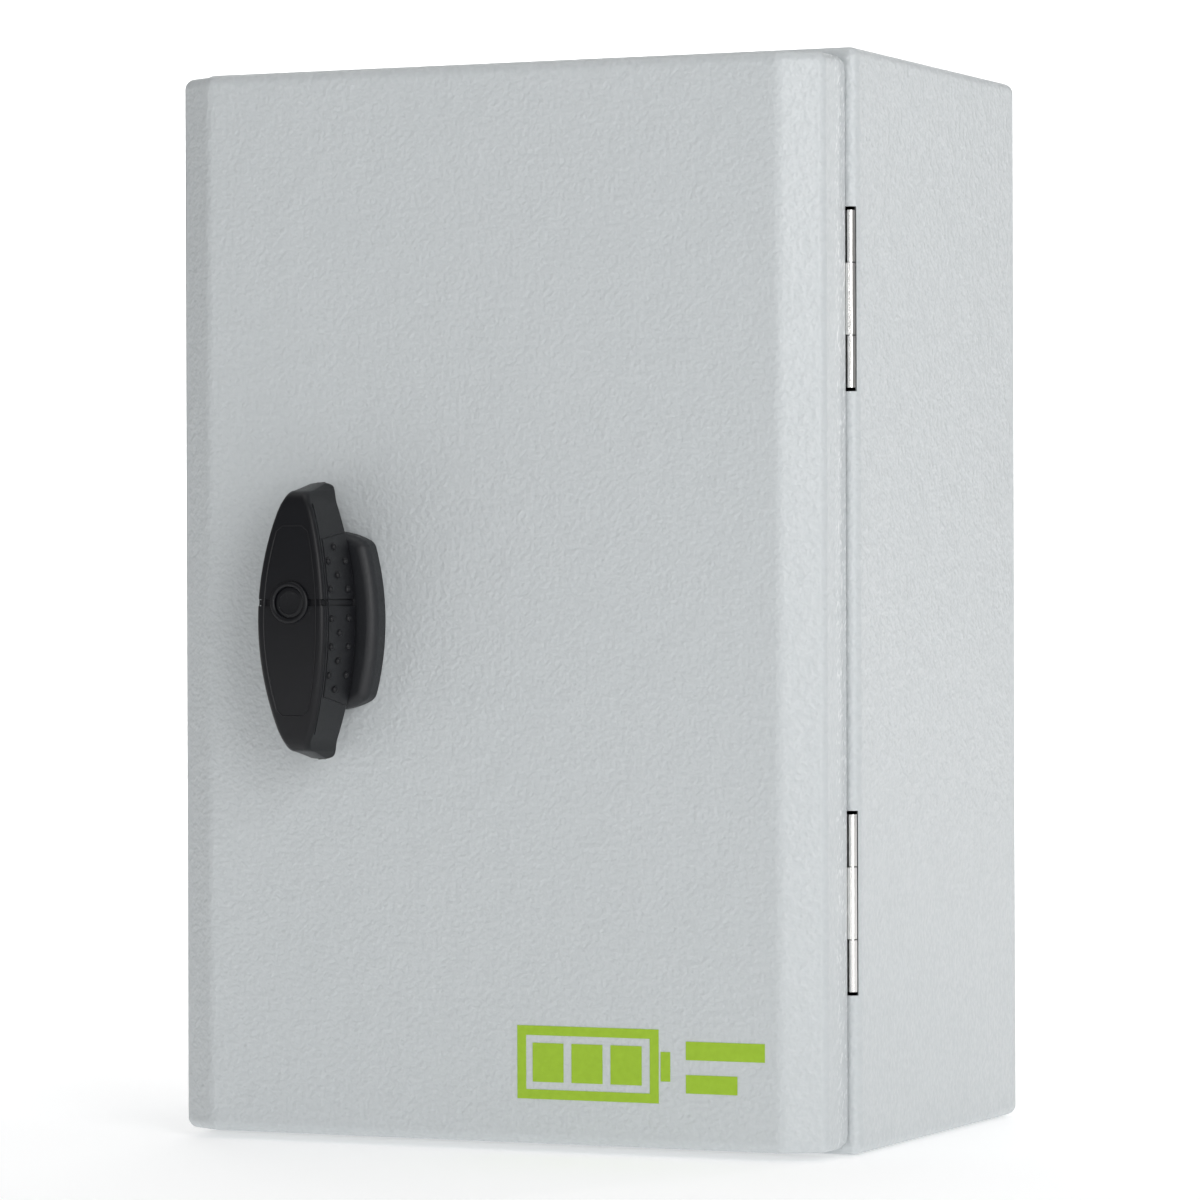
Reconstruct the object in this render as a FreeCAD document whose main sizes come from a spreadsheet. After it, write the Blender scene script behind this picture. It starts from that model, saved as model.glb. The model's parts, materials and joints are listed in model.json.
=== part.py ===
import FreeCAD, Part
import math
import os
import Sketcher
from FreeCAD import Placement, Rotation, Vector

# A small wall-mount steel cabinet for battery equipment: a folded body, a hinged door with a
# turning wing handle, and the switchgear it protects. Lengths are millimetres. X is to the right,
# -Y is towards the front and Z is up. The origin is the centre of the four wall holes, on the back.

SIZES = {
    # cabinet
    "box_width": 200.0,
    "box_height": 300.0,
    "box_depth": 150.0,
    "body_depth": 128.0,
    "steel": 1.2,
    "fold_radius": 3.0,
    "flange_width": 20.0,
    "lip_depth": 13.5,
    "lip_corner": 6.0,
    "wall_hole_inset_x": 20.0,
    "wall_hole_inset_z": 20.0,
    "wall_hole_radius": 4.25,
    # bottom cable opening
    "cable_opening_width": 120.0,
    "cable_opening_depth": 66.0,
    "cable_opening_back": 32.0,
    "gland_overlap": 12.0,
    "gland_thickness": 1.5,
    "gland_foam": 2.0,
    # door
    "door_gap": 1.0,
    "door_side_reveal": 3.0,
    "door_top_reveal": 2.6,
    "door_bottom_reveal": 1.9,
    "door_slope_width": 11.0,
    "door_slope_depth": 6.0,
    "door_front_bend": 6.0,
    "door_bend": 3.0,
    "door_corner": 4.5,
    "gasket_width": 8.5,
    "gasket_clearance": 0.3,
    # hinges
    "hinge_length": 48.0,
    "hinge_end_distance": 68.3,
    "hinge_radius": 1.4,
    "hinge_side_inset": 2.2,
    "hinge_front_inset": 0.8,
    "hinge_pin_radius": 0.7,
    "hinge_pin_play": 0.05,
    "knuckle_length": 14.0,
    "knuckle_gap": 0.3,
    "hinge_leaf": 1.5,
    "notch_play": 1.0,
    "notch_back_play": 0.25,
    "leaf_play": 0.3,
    # handle
    "handle_side_distance": 53.5,
    "handle_drop": 5.1,
    "base_side_height": 43.0,
    "base_end_width": 24.4,
    "base_side_radius": 76.0,
    "base_end_radius": 24.0,
    "base_corner": 3.5,
    "base_edge": 3.0,
    "base_thickness": 6.8,
    "grip_height": 76.2,
    "grip_end_width": 8.4,
    "grip_shoulder_width": 9.0,
    "grip_shoulder_height": 66.0,
    "grip_side_radius": 97.0,
    "grip_front": 28.2,
    "grip_end_front": 25.0,
    "grip_front_radius": 188.0,
    "grip_tip_depth": 1.5,
    "grip_tip_drop": 3.6,
    "grip_lift": 8.2,
    "neck_radius": 8.0,
    "neck_play": 0.4,
    "ring_radius": 5.8,
    "cap_radius": 3.9,
    "groove_width": 1.9,
    "groove_depth": 1.1,
    "spindle_radius": 4.0,
    "spindle_play": 0.08,
    "bush_radius": 9.0,
    "bush_length": 18.0,
    "cam_thickness": 3.0,
    "cam_reach": 47.0,
    "cam_width": 18.0,
    "cam_play": 0.5,
    # inside
    "plate_margin": 23.8,
    "plate_thickness": 2.0,
    "plate_standoff": 12.0,
    "stud_inset": 8.0,
    "rail_height": 35.0,
    "rail_depth": 7.5,
    "rail_steel": 1.0,
    "rail_end_margin": 4.0,
    "module_width": 18.0,
    "module_height": 85.0,
    "module_window": 45.0,
    "module_shoulder": 38.0,
    "module_nose": 44.5,
    "module_back_gap": 3.0,
    "row_gap": 8.0,
    "duct_height": 20.0,
    "duct_depth": 45.0,
    "duct_gap": 5.0,
    "terminal_height": 43.0,
    "terminal_width": 8.2,
    "terminal_depth": 38.0,
    "relay_width": 17.5,
    "wire_radius": 1.7,
}

POLES = 3
TERMINALS = {"phase": 6, "neutral": 3, "earth": 3}

doc = FreeCAD.newDocument("wall_cabinet")
sheet = doc.addObject("Spreadsheet::Sheet", "Sizes")
for row, (alias, number) in enumerate(SIZES.items(), start=1):
    sheet.set(f"A{row}", alias)
    sheet.set(f"B{row}", str(number))
    sheet.setAlias(f"B{row}", alias)
doc.recompute()

NODES = []


# ---------------------------------------------------------------- sizes

class Size:
    """A length together with the sheet expression that gives it."""

    def __init__(self, value, text):
        self.value = float(value)
        self.text = text

    def __add__(self, other):
        other = sized(other)
        return Size(self.value + other.value, f"({self.text} + {other.text})")

    def __radd__(self, other):
        return sized(other) + self

    def __sub__(self, other):
        other = sized(other)
        return Size(self.value - other.value, f"({self.text} - {other.text})")

    def __rsub__(self, other):
        return sized(other) - self

    def __mul__(self, factor):
        factor = sized(factor)
        return Size(self.value * factor.value, f"({self.text} * {factor.text})")

    __rmul__ = __mul__

    def __truediv__(self, divisor):
        divisor = sized(divisor)
        return Size(self.value / divisor.value, f"({self.text} / {divisor.text})")

    def root(self):
        return Size(math.sqrt(self.value), f"sqrt({self.text})")

    def __neg__(self):
        return Size(-self.value, f"(0 - {self.text})")


def sized(item):
    return item if isinstance(item, Size) else Size(item, f"({item})")


def cell(alias):
    return Size(getattr(sheet, alias), "Sizes." + alias)


def bind(item, prop, size):
    item.setExpression(prop, sized(size).text)


# ---------------------------------------------------------------- solids

TURNS = {
    "+Z": Rotation(),
    "-Z": Rotation(Vector(1, 0, 0), 180),
    "+X": Rotation(Vector(0, 1, 0), 90),
    "-X": Rotation(Vector(0, 1, 0), -90),
    "+Y": Rotation(Vector(1, 0, 0), -90),
    "-Y": Rotation(Vector(1, 0, 0), 90),
}


def put(item, start, direction="+Z"):
    """Places an item at start, its own Z turned to the direction."""
    item.Placement = Placement(Vector(), TURNS[direction])
    for axis, size in zip("xyz", start):
        bind(item, "Placement.Base." + axis, size)
    return item


def box(name, x_span, y_span, z_span):
    block = doc.addObject("Part::Box", name)
    spans = (x_span, y_span, z_span)
    for prop, (low, high) in zip(("Length", "Width", "Height"), spans):
        bind(block, prop, sized(high) - low)
    return put(block, [low for low, high in spans])


def cylinder(name, radius, start, direction, length):
    rod = doc.addObject("Part::Cylinder", name)
    bind(rod, "Radius", radius)
    bind(rod, "Height", length)
    return put(rod, start, direction)


def hexagon(name, across_flats, start, direction, length):
    nut = doc.addObject("Part::Prism", name)
    nut.Polygon = 6
    bind(nut, "Circumradius", sized(across_flats) / math.sqrt(3))
    bind(nut, "Height", length)
    return put(nut, start, direction)


def fuse(name, pieces):
    joined = doc.addObject("Part::MultiFuse", name)
    joined.Shapes = pieces
    joined.Refine = True
    return joined


def cut(name, base, tools):
    result = doc.addObject("Part::Cut", name)
    result.Base = base
    result.Tool = tools[0] if len(tools) == 1 else fuse(name + "_tools", tools)
    result.Refine = True
    return result


def common(name, first, second):
    result = doc.addObject("Part::Common", name)
    result.Base = first
    result.Tool = second
    result.Refine = True
    return result


def group(name, pieces):
    """Separate solids that share one node."""
    together = doc.addObject("Part::Compound", name)
    together.Links = pieces
    return together


def arc_through(start, end, radius):
    """The minor arc from start to end that turns left, as an angle pair and a centre."""
    chord = end - start
    rise = math.sqrt(radius * radius - chord.Length ** 2 / 4)
    left = Vector(-chord.y, chord.x, 0).normalize()
    centre = (start + end) / 2 + left * rise
    first = math.atan2(start.y - centre.y, start.x - centre.x)
    last = math.atan2(end.y - centre.y, end.x - centre.x)
    circle = Part.Circle(centre, Vector(0, 0, 1), radius)
    return Part.ArcOfCircle(circle, first, last)


def draw(sketch, corners, circles):
    """A closed outline, listed counter-clockwise. A third value bows the side after its corner."""
    corners = [[sized(value) for value in corner] for corner in corners]
    points = [Vector(corner[0].value, corner[1].value, 0) for corner in corners]
    for index, corner in enumerate(corners):
        start = points[index]
        end = points[(index + 1) % len(points)]
        if len(corner) == 3:
            sketch.addGeometry(arc_through(start, end, corner[2].value))
        else:
            sketch.addGeometry(Part.LineSegment(start, end))
    for index, corner in enumerate(corners):
        following = (index + 1) % len(corners)
        sketch.addConstraint(Sketcher.Constraint("Coincident", index, 2, following, 1))
        pin(sketch, index, 1, corner[0], corner[1])
        if len(corner) == 3:
            measure(sketch, Sketcher.Constraint("Radius", index, corner[2].value), corner[2])
    for u, v, radius in circles:
        u, v, radius = sized(u), sized(v), sized(radius)
        ring = Part.Circle(Vector(u.value, v.value, 0), Vector(0, 0, 1), radius.value)
        index = sketch.addGeometry(ring)
        pin(sketch, index, 3, u, v)
        measure(sketch, Sketcher.Constraint("Radius", index, radius.value), radius)


def pin(sketch, index, end, u, v):
    """Holds one point of the geometry at u, v from the sketch's origin."""
    measure(sketch, Sketcher.Constraint("DistanceX", -1, 1, index, end, u.value), u)
    measure(sketch, Sketcher.Constraint("DistanceY", -1, 1, index, end, v.value), v)


def measure(sketch, constraint, size):
    number = sketch.addConstraint(constraint)
    sketch.setExpression(f"Constraints[{number}]", size.text)


NORMALS = {"XY": "z", "XZ": "y", "YZ": "x"}


def prism(name, plane, corners, length, start=0, circles=()):
    """An outline padded from start along +Z on XY, along -Y on XZ and along +X on YZ."""
    body = doc.addObject("PartDesign::Body", name)
    sketch = body.newObject("Sketcher::SketchObject", name + "_sketch")
    planes = {feature.Role: feature for feature in body.Origin.OriginFeatures}
    sketch.AttachmentSupport = (planes[plane + "_Plane"], "")
    sketch.MapMode = "FlatFace"
    draw(sketch, corners, circles)
    pad = body.newObject("PartDesign::Pad", name + "_pad")
    pad.Profile = sketch
    bind(pad, "Length", length)
    body.Tip = pad
    bind(body, "Placement.Base." + NORMALS[plane], start)
    return body


def rectangle(u_span, v_span):
    (left, right), (low, high) = u_span, v_span
    return [(left, low), (right, low), (right, high), (left, high)]


def round_edges(body, radius, wanted):
    """Rounds those edges of a body that pass the test, which sees each edge's bounding box."""
    doc.recompute()
    base = body.Tip
    edges = enumerate(base.Shape.Edges, start=1)
    names = [f"Edge{number}" for number, edge in edges if wanted(edge.BoundBox)]
    fillet = body.newObject("PartDesign::Fillet", body.Name + "_fillet")
    fillet.Base = (base, names)
    bind(fillet, "Radius", radius)
    body.Tip = fillet
    return body


TINY = 1e-4


def runs_along(axis):
    """A test for straight edges that are parallel to one axis."""
    others = {"x": "YZ", "y": "XZ", "z": "XY"}[axis]

    def test(bounds):
        spans = [getattr(bounds, other + "Length") for other in others]
        return max(spans) < TINY
    return test


def block(name, x_span, y_span, z_span, radius, wanted):
    """A block whose wanted edges are rounded. Its front is its -Y side."""
    back = sized(y_span[1])
    body = prism(name, "XZ", rectangle(x_span, z_span), back - y_span[0], back)
    return round_edges(body, radius, wanted)


def node(label, item):
    item.Label = label
    NODES.append(item)
    return item


# ---------------------------------------------------------------- places used by several pieces

width, height, depth = cell("box_width"), cell("box_height"), cell("box_depth")
steel = cell("steel")
half_width = width / 2
half_height = height / 2
body_front = -cell("body_depth")
flange_back = body_front + steel
inner_x = half_width - steel
inner_z = half_height - steel
lip_x = half_width - cell("flange_width")
lip_z = half_height - cell("flange_width")
lip_front = body_front - cell("lip_depth")

door_front = -depth
door_inside = door_front + steel
door_back = body_front - cell("door_gap")
door_x = half_width - cell("door_side_reveal")
door_top = half_height - cell("door_top_reveal")
door_bottom = cell("door_bottom_reveal") - half_height

hinge_x = half_width - cell("hinge_side_inset")
hinge_y = body_front + cell("hinge_front_inset")
hinge_z = half_height - cell("hinge_end_distance")

handle_x = cell("handle_side_distance") - half_width
grip_z = -cell("handle_drop")

wall_hole_x = half_width - cell("wall_hole_inset_x")
wall_hole_z = half_height - cell("wall_hole_inset_z")

plate_x = inner_x - cell("plate_margin")
plate_z = inner_z - cell("plate_margin")
plate_back = -cell("plate_standoff")
plate_front = plate_back - cell("plate_thickness")
rail_front = plate_front - cell("rail_depth")

breaker_z = plate_z - cell("module_height") / 2
contactor_z = breaker_z - cell("module_height") - cell("row_gap")
duct_top = contactor_z - cell("module_height") / 2 - cell("duct_gap")
duct_low = duct_top - cell("duct_height")
terminal_top = duct_low - cell("duct_gap")
terminal_z = terminal_top - cell("terminal_height") / 2


# ---------------------------------------------------------------- fasteners

def flange_nut(name, thread, start, direction):
    """A hexagon nut on its washer-like flange, in proportion to the thread's radius."""
    collar = cylinder(name + "_collar", thread * 2.1, start, direction, thread * 0.5)
    body = hexagon(name + "_hex", thread * 3.3, start, direction, thread * 1.7)
    bore = cylinder(name + "_bore", thread, start, direction, thread * 3)
    return cut(name, fuse(name + "_blank", [collar, body]), [bore])


def pan_screw(name, thread, start, direction, reach):
    """A screw seated at start, its head towards the direction and its shank the other way."""
    backward = {"+": "-", "-": "+"}[direction[0]] + direction[1]
    head = cylinder(name + "_head", thread * 1.9, start, direction, thread * 1.2)
    shank = cylinder(name + "_shank", thread, start, backward, reach)
    return fuse(name, [head, shank])


# ---------------------------------------------------------------- body of the cabinet

def enclosure_body():
    outer = block("shell", (-half_width, half_width), (body_front, 0), (-half_height, half_height),
                  cell("fold_radius"), lambda bounds: True)
    inner = block("shell_void", (-inner_x, inner_x), (flange_back, -steel), (-inner_z, inner_z),
                  cell("fold_radius") - steel, lambda bounds: True)
    lip = block("lip", (-lip_x, lip_x), (lip_front, flange_back), (-lip_z, lip_z),
                cell("lip_corner"), runs_along("y"))
    mouth = block("mouth", (steel - lip_x, lip_x - steel), (lip_front - 1, flange_back + 1),
                  (steel - lip_z, lip_z - steel), cell("lip_corner") - steel, runs_along("y"))
    tools = [mouth, cable_opening("bottom_opening")]
    tools += [hinge_notch(f"notch_{name}", z) for name, z in hinge_places()]
    for x in (-wall_hole_x, wall_hole_x):
        for z in (-wall_hole_z, wall_hole_z):
            tools.append(cylinder("wall_hole", cell("wall_hole_radius"), (x, -steel * 2, z), "+Y",
                                  steel * 3))
    tools += [cylinder("flange_hole", HINGE_THREAD, (x, body_front - 1, z), "+Y", steel + 2)
              for x, z in hinge_screw_spots()]
    shell = cut("hollow_shell", outer, [inner])
    return cut("enclosure", fuse("shell_and_lip", [shell, lip]), tools)


def cable_opening_spans(extra):
    x = cell("cable_opening_width") / 2 + extra
    back = extra - cell("cable_opening_back")
    front = -cell("cable_opening_back") - cell("cable_opening_depth") - extra
    return (-x, x), (front, back)


def cable_opening(name):
    x_span, y_span = cable_opening_spans(sized(0))
    return box(name, x_span, y_span, (-half_height - 1, 1 - inner_z))


def hinge_places():
    return (("upper", hinge_z), ("lower", -hinge_z))


def hinge_notch(name, z):
    """The slot in the body's front right fold through which the hinge works."""
    tall = cell("hinge_length") / 2 + cell("notch_play")
    reach = cell("hinge_radius") + cell("notch_back_play")
    flat = box(name + "_flat", (door_leaf_x()[0] - cell("leaf_play"), hinge_x),
               (body_front - 1, hinge_y + reach), (z - tall, z + tall))
    round_side = cylinder(name + "_round", reach, (hinge_x, hinge_y, z - tall), "+Z", tall * 2)
    return fuse(name, [flat, round_side])


def gland_foam():
    x_span, y_span = cable_opening_spans(cell("gland_overlap"))
    outer = box("foam_blank", x_span, y_span, (-inner_z, cell("gland_foam") - inner_z))
    return cut("gland_foam", outer, [cable_opening("foam_opening")] + gland_holes("foam_hole"))


def gland_plate():
    x_span, y_span = cable_opening_spans(cell("gland_overlap"))
    low = cell("gland_foam") - inner_z
    blank = box("gland_blank", x_span, y_span, (low, low + cell("gland_thickness")))
    return cut("gland_plate", blank, gland_holes("gland_hole"))


def gland_spots():
    (left, right), (front, back) = cable_opening_spans(cell("gland_overlap") / 2)
    return [(x, y) for x in (left, 0, right) for y in (front, back)]


GLAND_THREAD = 2.0
STUD_THREAD = 3.0
EARTH_THREAD = 3.0
HINGE_THREAD = 1.5


def gland_holes(name):
    return [cylinder(name, GLAND_THREAD + 0.5, (x, y, -inner_z - 1), "+Z", 10)
            for x, y in gland_spots()]


def gland_studs():
    return group("gland_studs", [cylinder("gland_stud", GLAND_THREAD, (x, y, -inner_z), "+Z", 9)
                                 for x, y in gland_spots()])


def gland_nuts():
    top = cell("gland_foam") + cell("gland_thickness") - inner_z
    return group("gland_nuts", [flange_nut("gland_nut", sized(GLAND_THREAD), (x, y, top), "+Z")
                                for x, y in gland_spots()])


def plate_spots():
    x = plate_x - cell("stud_inset")
    z = plate_z - cell("stud_inset")
    return [(side * x, end * z) for side in (-1, 1) for end in (-1, 1)]


def plate_studs():
    studs = []
    for x, z in plate_spots():
        shoulder = cylinder("stud_shoulder", STUD_THREAD + 2, (x, -steel, z), "-Y",
                            cell("plate_standoff") - steel)
        thread = cylinder("stud_thread", STUD_THREAD, (x, plate_back, z), "-Y", 11)
        studs.append(fuse("plate_stud", [shoulder, thread]))
    return group("plate_studs", studs)


def plate_nuts():
    return group("plate_nuts", [flange_nut("plate_nut", sized(STUD_THREAD), (x, plate_front, z), "-Y")
                                for x, z in plate_spots()])


def mounting_plate():
    holes = [(x, z, STUD_THREAD + 0.3) for x, z in plate_spots()]
    holes += [(x, z, RAIL_THREAD) for x, z in rail_spots()]
    plate = prism("plate", "XZ", rectangle((-plate_x, plate_x), (-plate_z, plate_z)),
                  cell("plate_thickness"), plate_back, holes)
    return round_edges(plate, 5, lambda bounds: runs_along("y")(bounds))


# ---------------------------------------------------------------- rails and switchgear

RAIL_THREAD = 2.0
STOP_WIDTH = 7.0
LONG_RAIL = plate_x - cell("rail_end_margin")
SHORT_RAIL = cell("terminal_width") * sum(TERMINALS.values()) / 2 + STOP_WIDTH + 1
RAILS = {
    "upper": (breaker_z, LONG_RAIL),
    "middle": (contactor_z, LONG_RAIL),
    "lower": (terminal_z, SHORT_RAIL),
}


def rail_spots(names=tuple(RAILS)):
    spots = []
    for name in names:
        z, half_length = RAILS[name]
        spots += [(side * (half_length - 8), z) for side in (-1, 1)]
    return spots


def rail(name):
    """A hat-section rail, drawn in its cross-section and padded along its length."""
    z, half_length = RAILS[name]
    half = cell("rail_height") / 2
    thin = cell("rail_steel")
    step = half - 4
    web = half - 5
    back = plate_front
    front = rail_front
    corners = [(back, z - step), (back, z + step), (front + thin, z + step), (front + thin, z + half),
               (front, z + half), (front, z + web), (back - thin, z + web), (back - thin, z - web),
               (front, z - web), (front, z - half), (front + thin, z - half),
               (front + thin, z - step)]
    bar = prism(f"rail_{name}", "YZ", corners, half_length * 2, -half_length)
    drills = [cylinder("rail_drill", RAIL_THREAD, (x, plate_front + 1, spot_z), "-Y", 10)
              for x, spot_z in rail_spots([name])]
    return cut(f"rail_{name}_drilled", bar, drills)


def rail_screws():
    seat = plate_front - cell("rail_steel")
    reach = cell("rail_steel") + cell("plate_thickness")
    return group("rail_screws", [pan_screw("rail_screw", sized(RAIL_THREAD), (x, seat, z), "-Y", reach)
                                 for x, z in rail_spots()])


def pole_positions(left):
    return [left + cell("module_width") * (pole + 0.5) for pole in range(POLES)]


def module_outline(z):
    """Side view of a modular device: it hooks over the rail and its window stands forward."""
    half = cell("module_height") / 2
    window = cell("module_window") / 2
    seat = cell("rail_height") / 2 + 0.2
    back = plate_front - cell("module_back_gap")
    shoulder = rail_front - cell("module_shoulder")
    nose = rail_front - cell("module_nose")
    return [(back, z - half), (back, z - seat), (rail_front, z - seat), (rail_front, z + seat),
            (back, z + seat), (back, z + half), (shoulder, z + half), (shoulder, z + window),
            (nose, z + window), (nose, z - window), (shoulder, z - window), (shoulder, z - half)]


SCREW_HOLE = 2.7
ENTRY = 3.0


def module_case(name, left, device_width, z, xs, slots):
    """One device with a screw hole and a wire entry at each end of every pole."""
    case = prism(name, "YZ", module_outline(z), device_width, left)
    front = (rail_front - 1).value
    round_edges(case, 1, lambda bounds: runs_along("x")(bounds) and bounds.YMax < front)
    shoulder = rail_front - cell("module_shoulder")
    tools = list(slots)
    for x in xs:
        for end in (-1, 1):
            tools.append(cylinder(name + "_screw_hole", SCREW_HOLE, (x, shoulder - 1, z + end * 33),
                                  "+Y", 4))
            entry_z = z + end * (cell("module_height") / 2 - ENTRY / 2)
            tools.append(box(name + "_entry", (x - 4, x + 4), (shoulder + 6, shoulder + 16),
                             (entry_z - ENTRY, entry_z + ENTRY)))
    return cut(name + "_case", case, tools)


def device_screws():
    """The clamp screws of every pole, sunk in their holes."""
    seat = rail_front - cell("module_shoulder") + 3
    spots = [(relay_x(), contactor_z)]
    for left in BANKS.values():
        spots += [(x, z) for x in pole_positions(left) for z in (breaker_z, contactor_z)]
    return group("clamps", [cylinder("clamp", SCREW_HOLE - 0.3, (x, seat, z + end * 33), "-Y", 2)
                            for x, z in spots for end in (-1, 1)])


BANKS = {"left": -cell("module_width") * POLES, "right": sized(0)}
TOGGLE_RADIUS = 7.0
TOGGLE_DROP = 2.0
LEVER_LENGTH = 16.0
LEVER_THICKNESS = 4.0
LEVER_TILT = 30.0


def toggle_pivot_y():
    return rail_front - cell("module_nose") + TOGGLE_DROP


def toggle_slot(name, left):
    """The bay that the linked toggles turn in."""
    start = left + 3
    length = cell("module_width") * POLES - 6
    return cylinder(name, TOGGLE_RADIUS + 0.5, (start, toggle_pivot_y(), breaker_z), "+X", length)


def breaker(name, left):
    xs = pole_positions(left)
    slot = toggle_slot(name + "_bay", left)
    return module_case(name, left, cell("module_width") * POLES, breaker_z, xs, [slot])


def breaker_toggle(name, left):
    """A drum across the poles with a lever that tilts up at rest, switched on."""
    start = left + 3.5
    length = cell("module_width") * POLES - 7
    y = toggle_pivot_y()
    drum = cylinder(name + "_drum", TOGGLE_RADIUS, (start, y, breaker_z), "+X", length)
    tilt = math.radians(LEVER_TILT)
    half = LEVER_THICKNESS / 2
    corners = [(0, -half), (0, half), (LEVER_LENGTH, half), (LEVER_LENGTH, -half)]
    turned = [(y - along * math.cos(tilt) - across * math.sin(tilt),
               breaker_z + along * math.sin(tilt) - across * math.cos(tilt))
              for along, across in corners]
    lever = prism(name + "_lever", "YZ", turned, length - 4, start + 2)
    return fuse(name, [drum, lever])


def contactor(name, left):
    """A contactor with a status window in its face."""
    xs = pole_positions(left)
    nose = rail_front - cell("module_nose")
    window = box(name + "_window", (left + 20, left + 34), (nose - 1, nose + 1),
                 (contactor_z + 4, contactor_z + 12))
    return module_case(name, left, cell("module_width") * POLES, contactor_z, xs, [window])


DIAL_RADIUS = 5.0


def relay_left():
    return cell("module_width") * POLES + 0.5


def relay_x():
    return relay_left() + cell("relay_width") / 2


def relay():
    left = relay_left()
    xs = [relay_x()]
    nose = rail_front - cell("module_nose")
    seat = cylinder("dial_seat", DIAL_RADIUS + 0.4, (xs[0], nose - 1, contactor_z + 8), "+Y", 3)
    return module_case("relay", left, cell("relay_width"), contactor_z, xs, [seat])


def relay_dial():
    x = relay_x()
    nose = rail_front - cell("module_nose")
    knob = cylinder("dial_knob", DIAL_RADIUS, (x, nose + 1.9, contactor_z + 8), "-Y", 5)
    slot = box("dial_slot", (x - 0.6, x + 0.6), (nose - 4, nose - 2.2),
               (contactor_z + 8 - DIAL_RADIUS, contactor_z + 8 + DIAL_RADIUS + 0.1))
    return cut("dial", knob, [slot])


def terminal(name, left, device_width):
    """One rail-mounted terminal, seen from the side as a stepped wedge."""
    half = cell("terminal_height") / 2
    seat = cell("rail_height") / 2 + 0.2
    back = rail_front + cell("rail_depth") - 3
    shoulder = rail_front - cell("terminal_depth") + 14
    nose = rail_front - cell("terminal_depth")
    z = terminal_z
    corners = [(back, z - half), (back, z - seat), (rail_front, z - seat), (rail_front, z + seat),
               (back, z + seat), (back, z + half), (shoulder, z + half), (nose, z + half - 9),
               (nose, z + 9 - half), (shoulder, z - half)]
    return prism(name, "YZ", corners, device_width, left)


def terminal_lefts():
    """The left side of every terminal, by kind, in one unbroken row about the middle."""
    count = sum(TERMINALS.values())
    left = -cell("terminal_width") * count / 2
    lefts = {}
    for kind, number in TERMINALS.items():
        lefts[kind] = [left + cell("terminal_width") * place for place in range(number)]
        left = left + cell("terminal_width") * number
    return lefts


def terminal_group(kind):
    play = 0.1
    pieces = [terminal(f"terminal_{kind}", left + play / 2, cell("terminal_width") - play)
              for left in terminal_lefts()[kind]]
    return group(f"terminals_of_{kind}", pieces)


def end_stops():
    reach = cell("terminal_width") * sum(TERMINALS.values()) / 2
    return group("stops", [terminal("stop", -reach - STOP_WIDTH, STOP_WIDTH),
                           terminal("stop", reach, STOP_WIDTH)])


TERMINAL_THREAD = 1.9


def terminal_screws():
    """A slotted clamp screw at each end of each terminal, standing just proud of its face."""
    nose = rail_front - cell("terminal_depth")
    screws = []
    for lefts in terminal_lefts().values():
        for left in lefts:
            for end in (-1, 1):
                x = left + cell("terminal_width") / 2
                screws.append(cylinder("clamp_screw", TERMINAL_THREAD, (x, nose, terminal_z + end * 8),
                                       "-Y", 0.8))
    return group("clamp_screws", screws)


# ---------------------------------------------------------------- wiring

DUCT_WALL = 1.2


def duct_x():
    return cell("module_width") * POLES + 2


def wiring_duct():
    x = duct_x()
    front = plate_front - cell("duct_depth")
    outer = box("duct_outer", (-x, x), (front, plate_front), (duct_low, duct_top))
    inner = box("duct_inner", (-x - 1, x + 1), (front - 1, plate_front - DUCT_WALL),
                (duct_low + DUCT_WALL, duct_top - DUCT_WALL))
    return cut("duct", outer, [inner])


def duct_cover():
    x = duct_x()
    front = plate_front - cell("duct_depth")
    return box("duct_lid", (-x, x), (front - DUCT_WALL, front), (duct_low, duct_top))


def link_wires(phase):
    """The straight wires of one phase: between the two rows, and from them into the duct."""
    y = rail_front - cell("module_shoulder") + 11
    half = cell("module_height") / 2
    wires = []
    for left in BANKS.values():
        x = pole_positions(left)[phase]
        low = contactor_z + half - ENTRY * 1.5
        high = breaker_z - half + ENTRY * 1.5
        wires.append(cylinder("link", cell("wire_radius"), (x, y, low), "+Z", high - low))
        top = contactor_z - half + ENTRY * 1.5
        wires.append(cylinder("drop", cell("wire_radius"), (x, y, duct_top), "+Z", top - duct_top))
    return wires


def terminal_wires(kind, places):
    """Short wires from the duct's underside down into terminals."""
    y = rail_front - cell("terminal_depth") + 20
    wires = []
    for place in places:
        x = terminal_lefts()[kind][place] + cell("terminal_width") / 2
        wires.append(cylinder("tail", cell("wire_radius"), (x, y, terminal_top), "+Z",
                              duct_low - terminal_top))
    return wires


def phase_wires(name, phase):
    return group(name, link_wires(phase) + terminal_wires("phase", (phase, phase + 3)))


def tube_along(points, radius):
    """A round wire along straight runs joined by tangent arcs."""
    fraction = 0.45
    edges = []
    here = points[0]
    for before, corner, after in zip(points, points[1:], points[2:]):
        arriving = (corner - before).normalize()
        leaving = (after - corner).normalize()
        setback = fraction * min((corner - before).Length, (after - corner).Length)
        first = corner - arriving * setback
        last = corner + leaving * setback
        towards = (leaving - arriving).normalize()
        half_turn = arriving.getAngle(leaving) / 2
        bend = setback / math.tan(half_turn)
        print(f"wire bend radius {bend:.1f}")
        middle = corner + towards * (bend / math.cos(half_turn) - bend)
        edges.append(Part.LineSegment(here, first).toShape())
        edges.append(Part.Arc(first, middle, last).toShape())
        here = last
    edges.append(Part.LineSegment(here, points[-1]).toShape())
    path = Part.Wire(edges)
    start = points[0]
    section = Part.Wire([Part.Circle(start, points[1] - start, radius).toShape()])
    tube = path.makePipeShell([section], True, True)
    expected = math.pi * radius ** 2 * path.Length
    if abs(tube.Volume - expected) > 0.02 * expected:
        raise RuntimeError("the wire's volume differs from its section times its length")
    return tube


def earth_stud_spot():
    return half_width - 13, -steel, -half_height + 62


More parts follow.
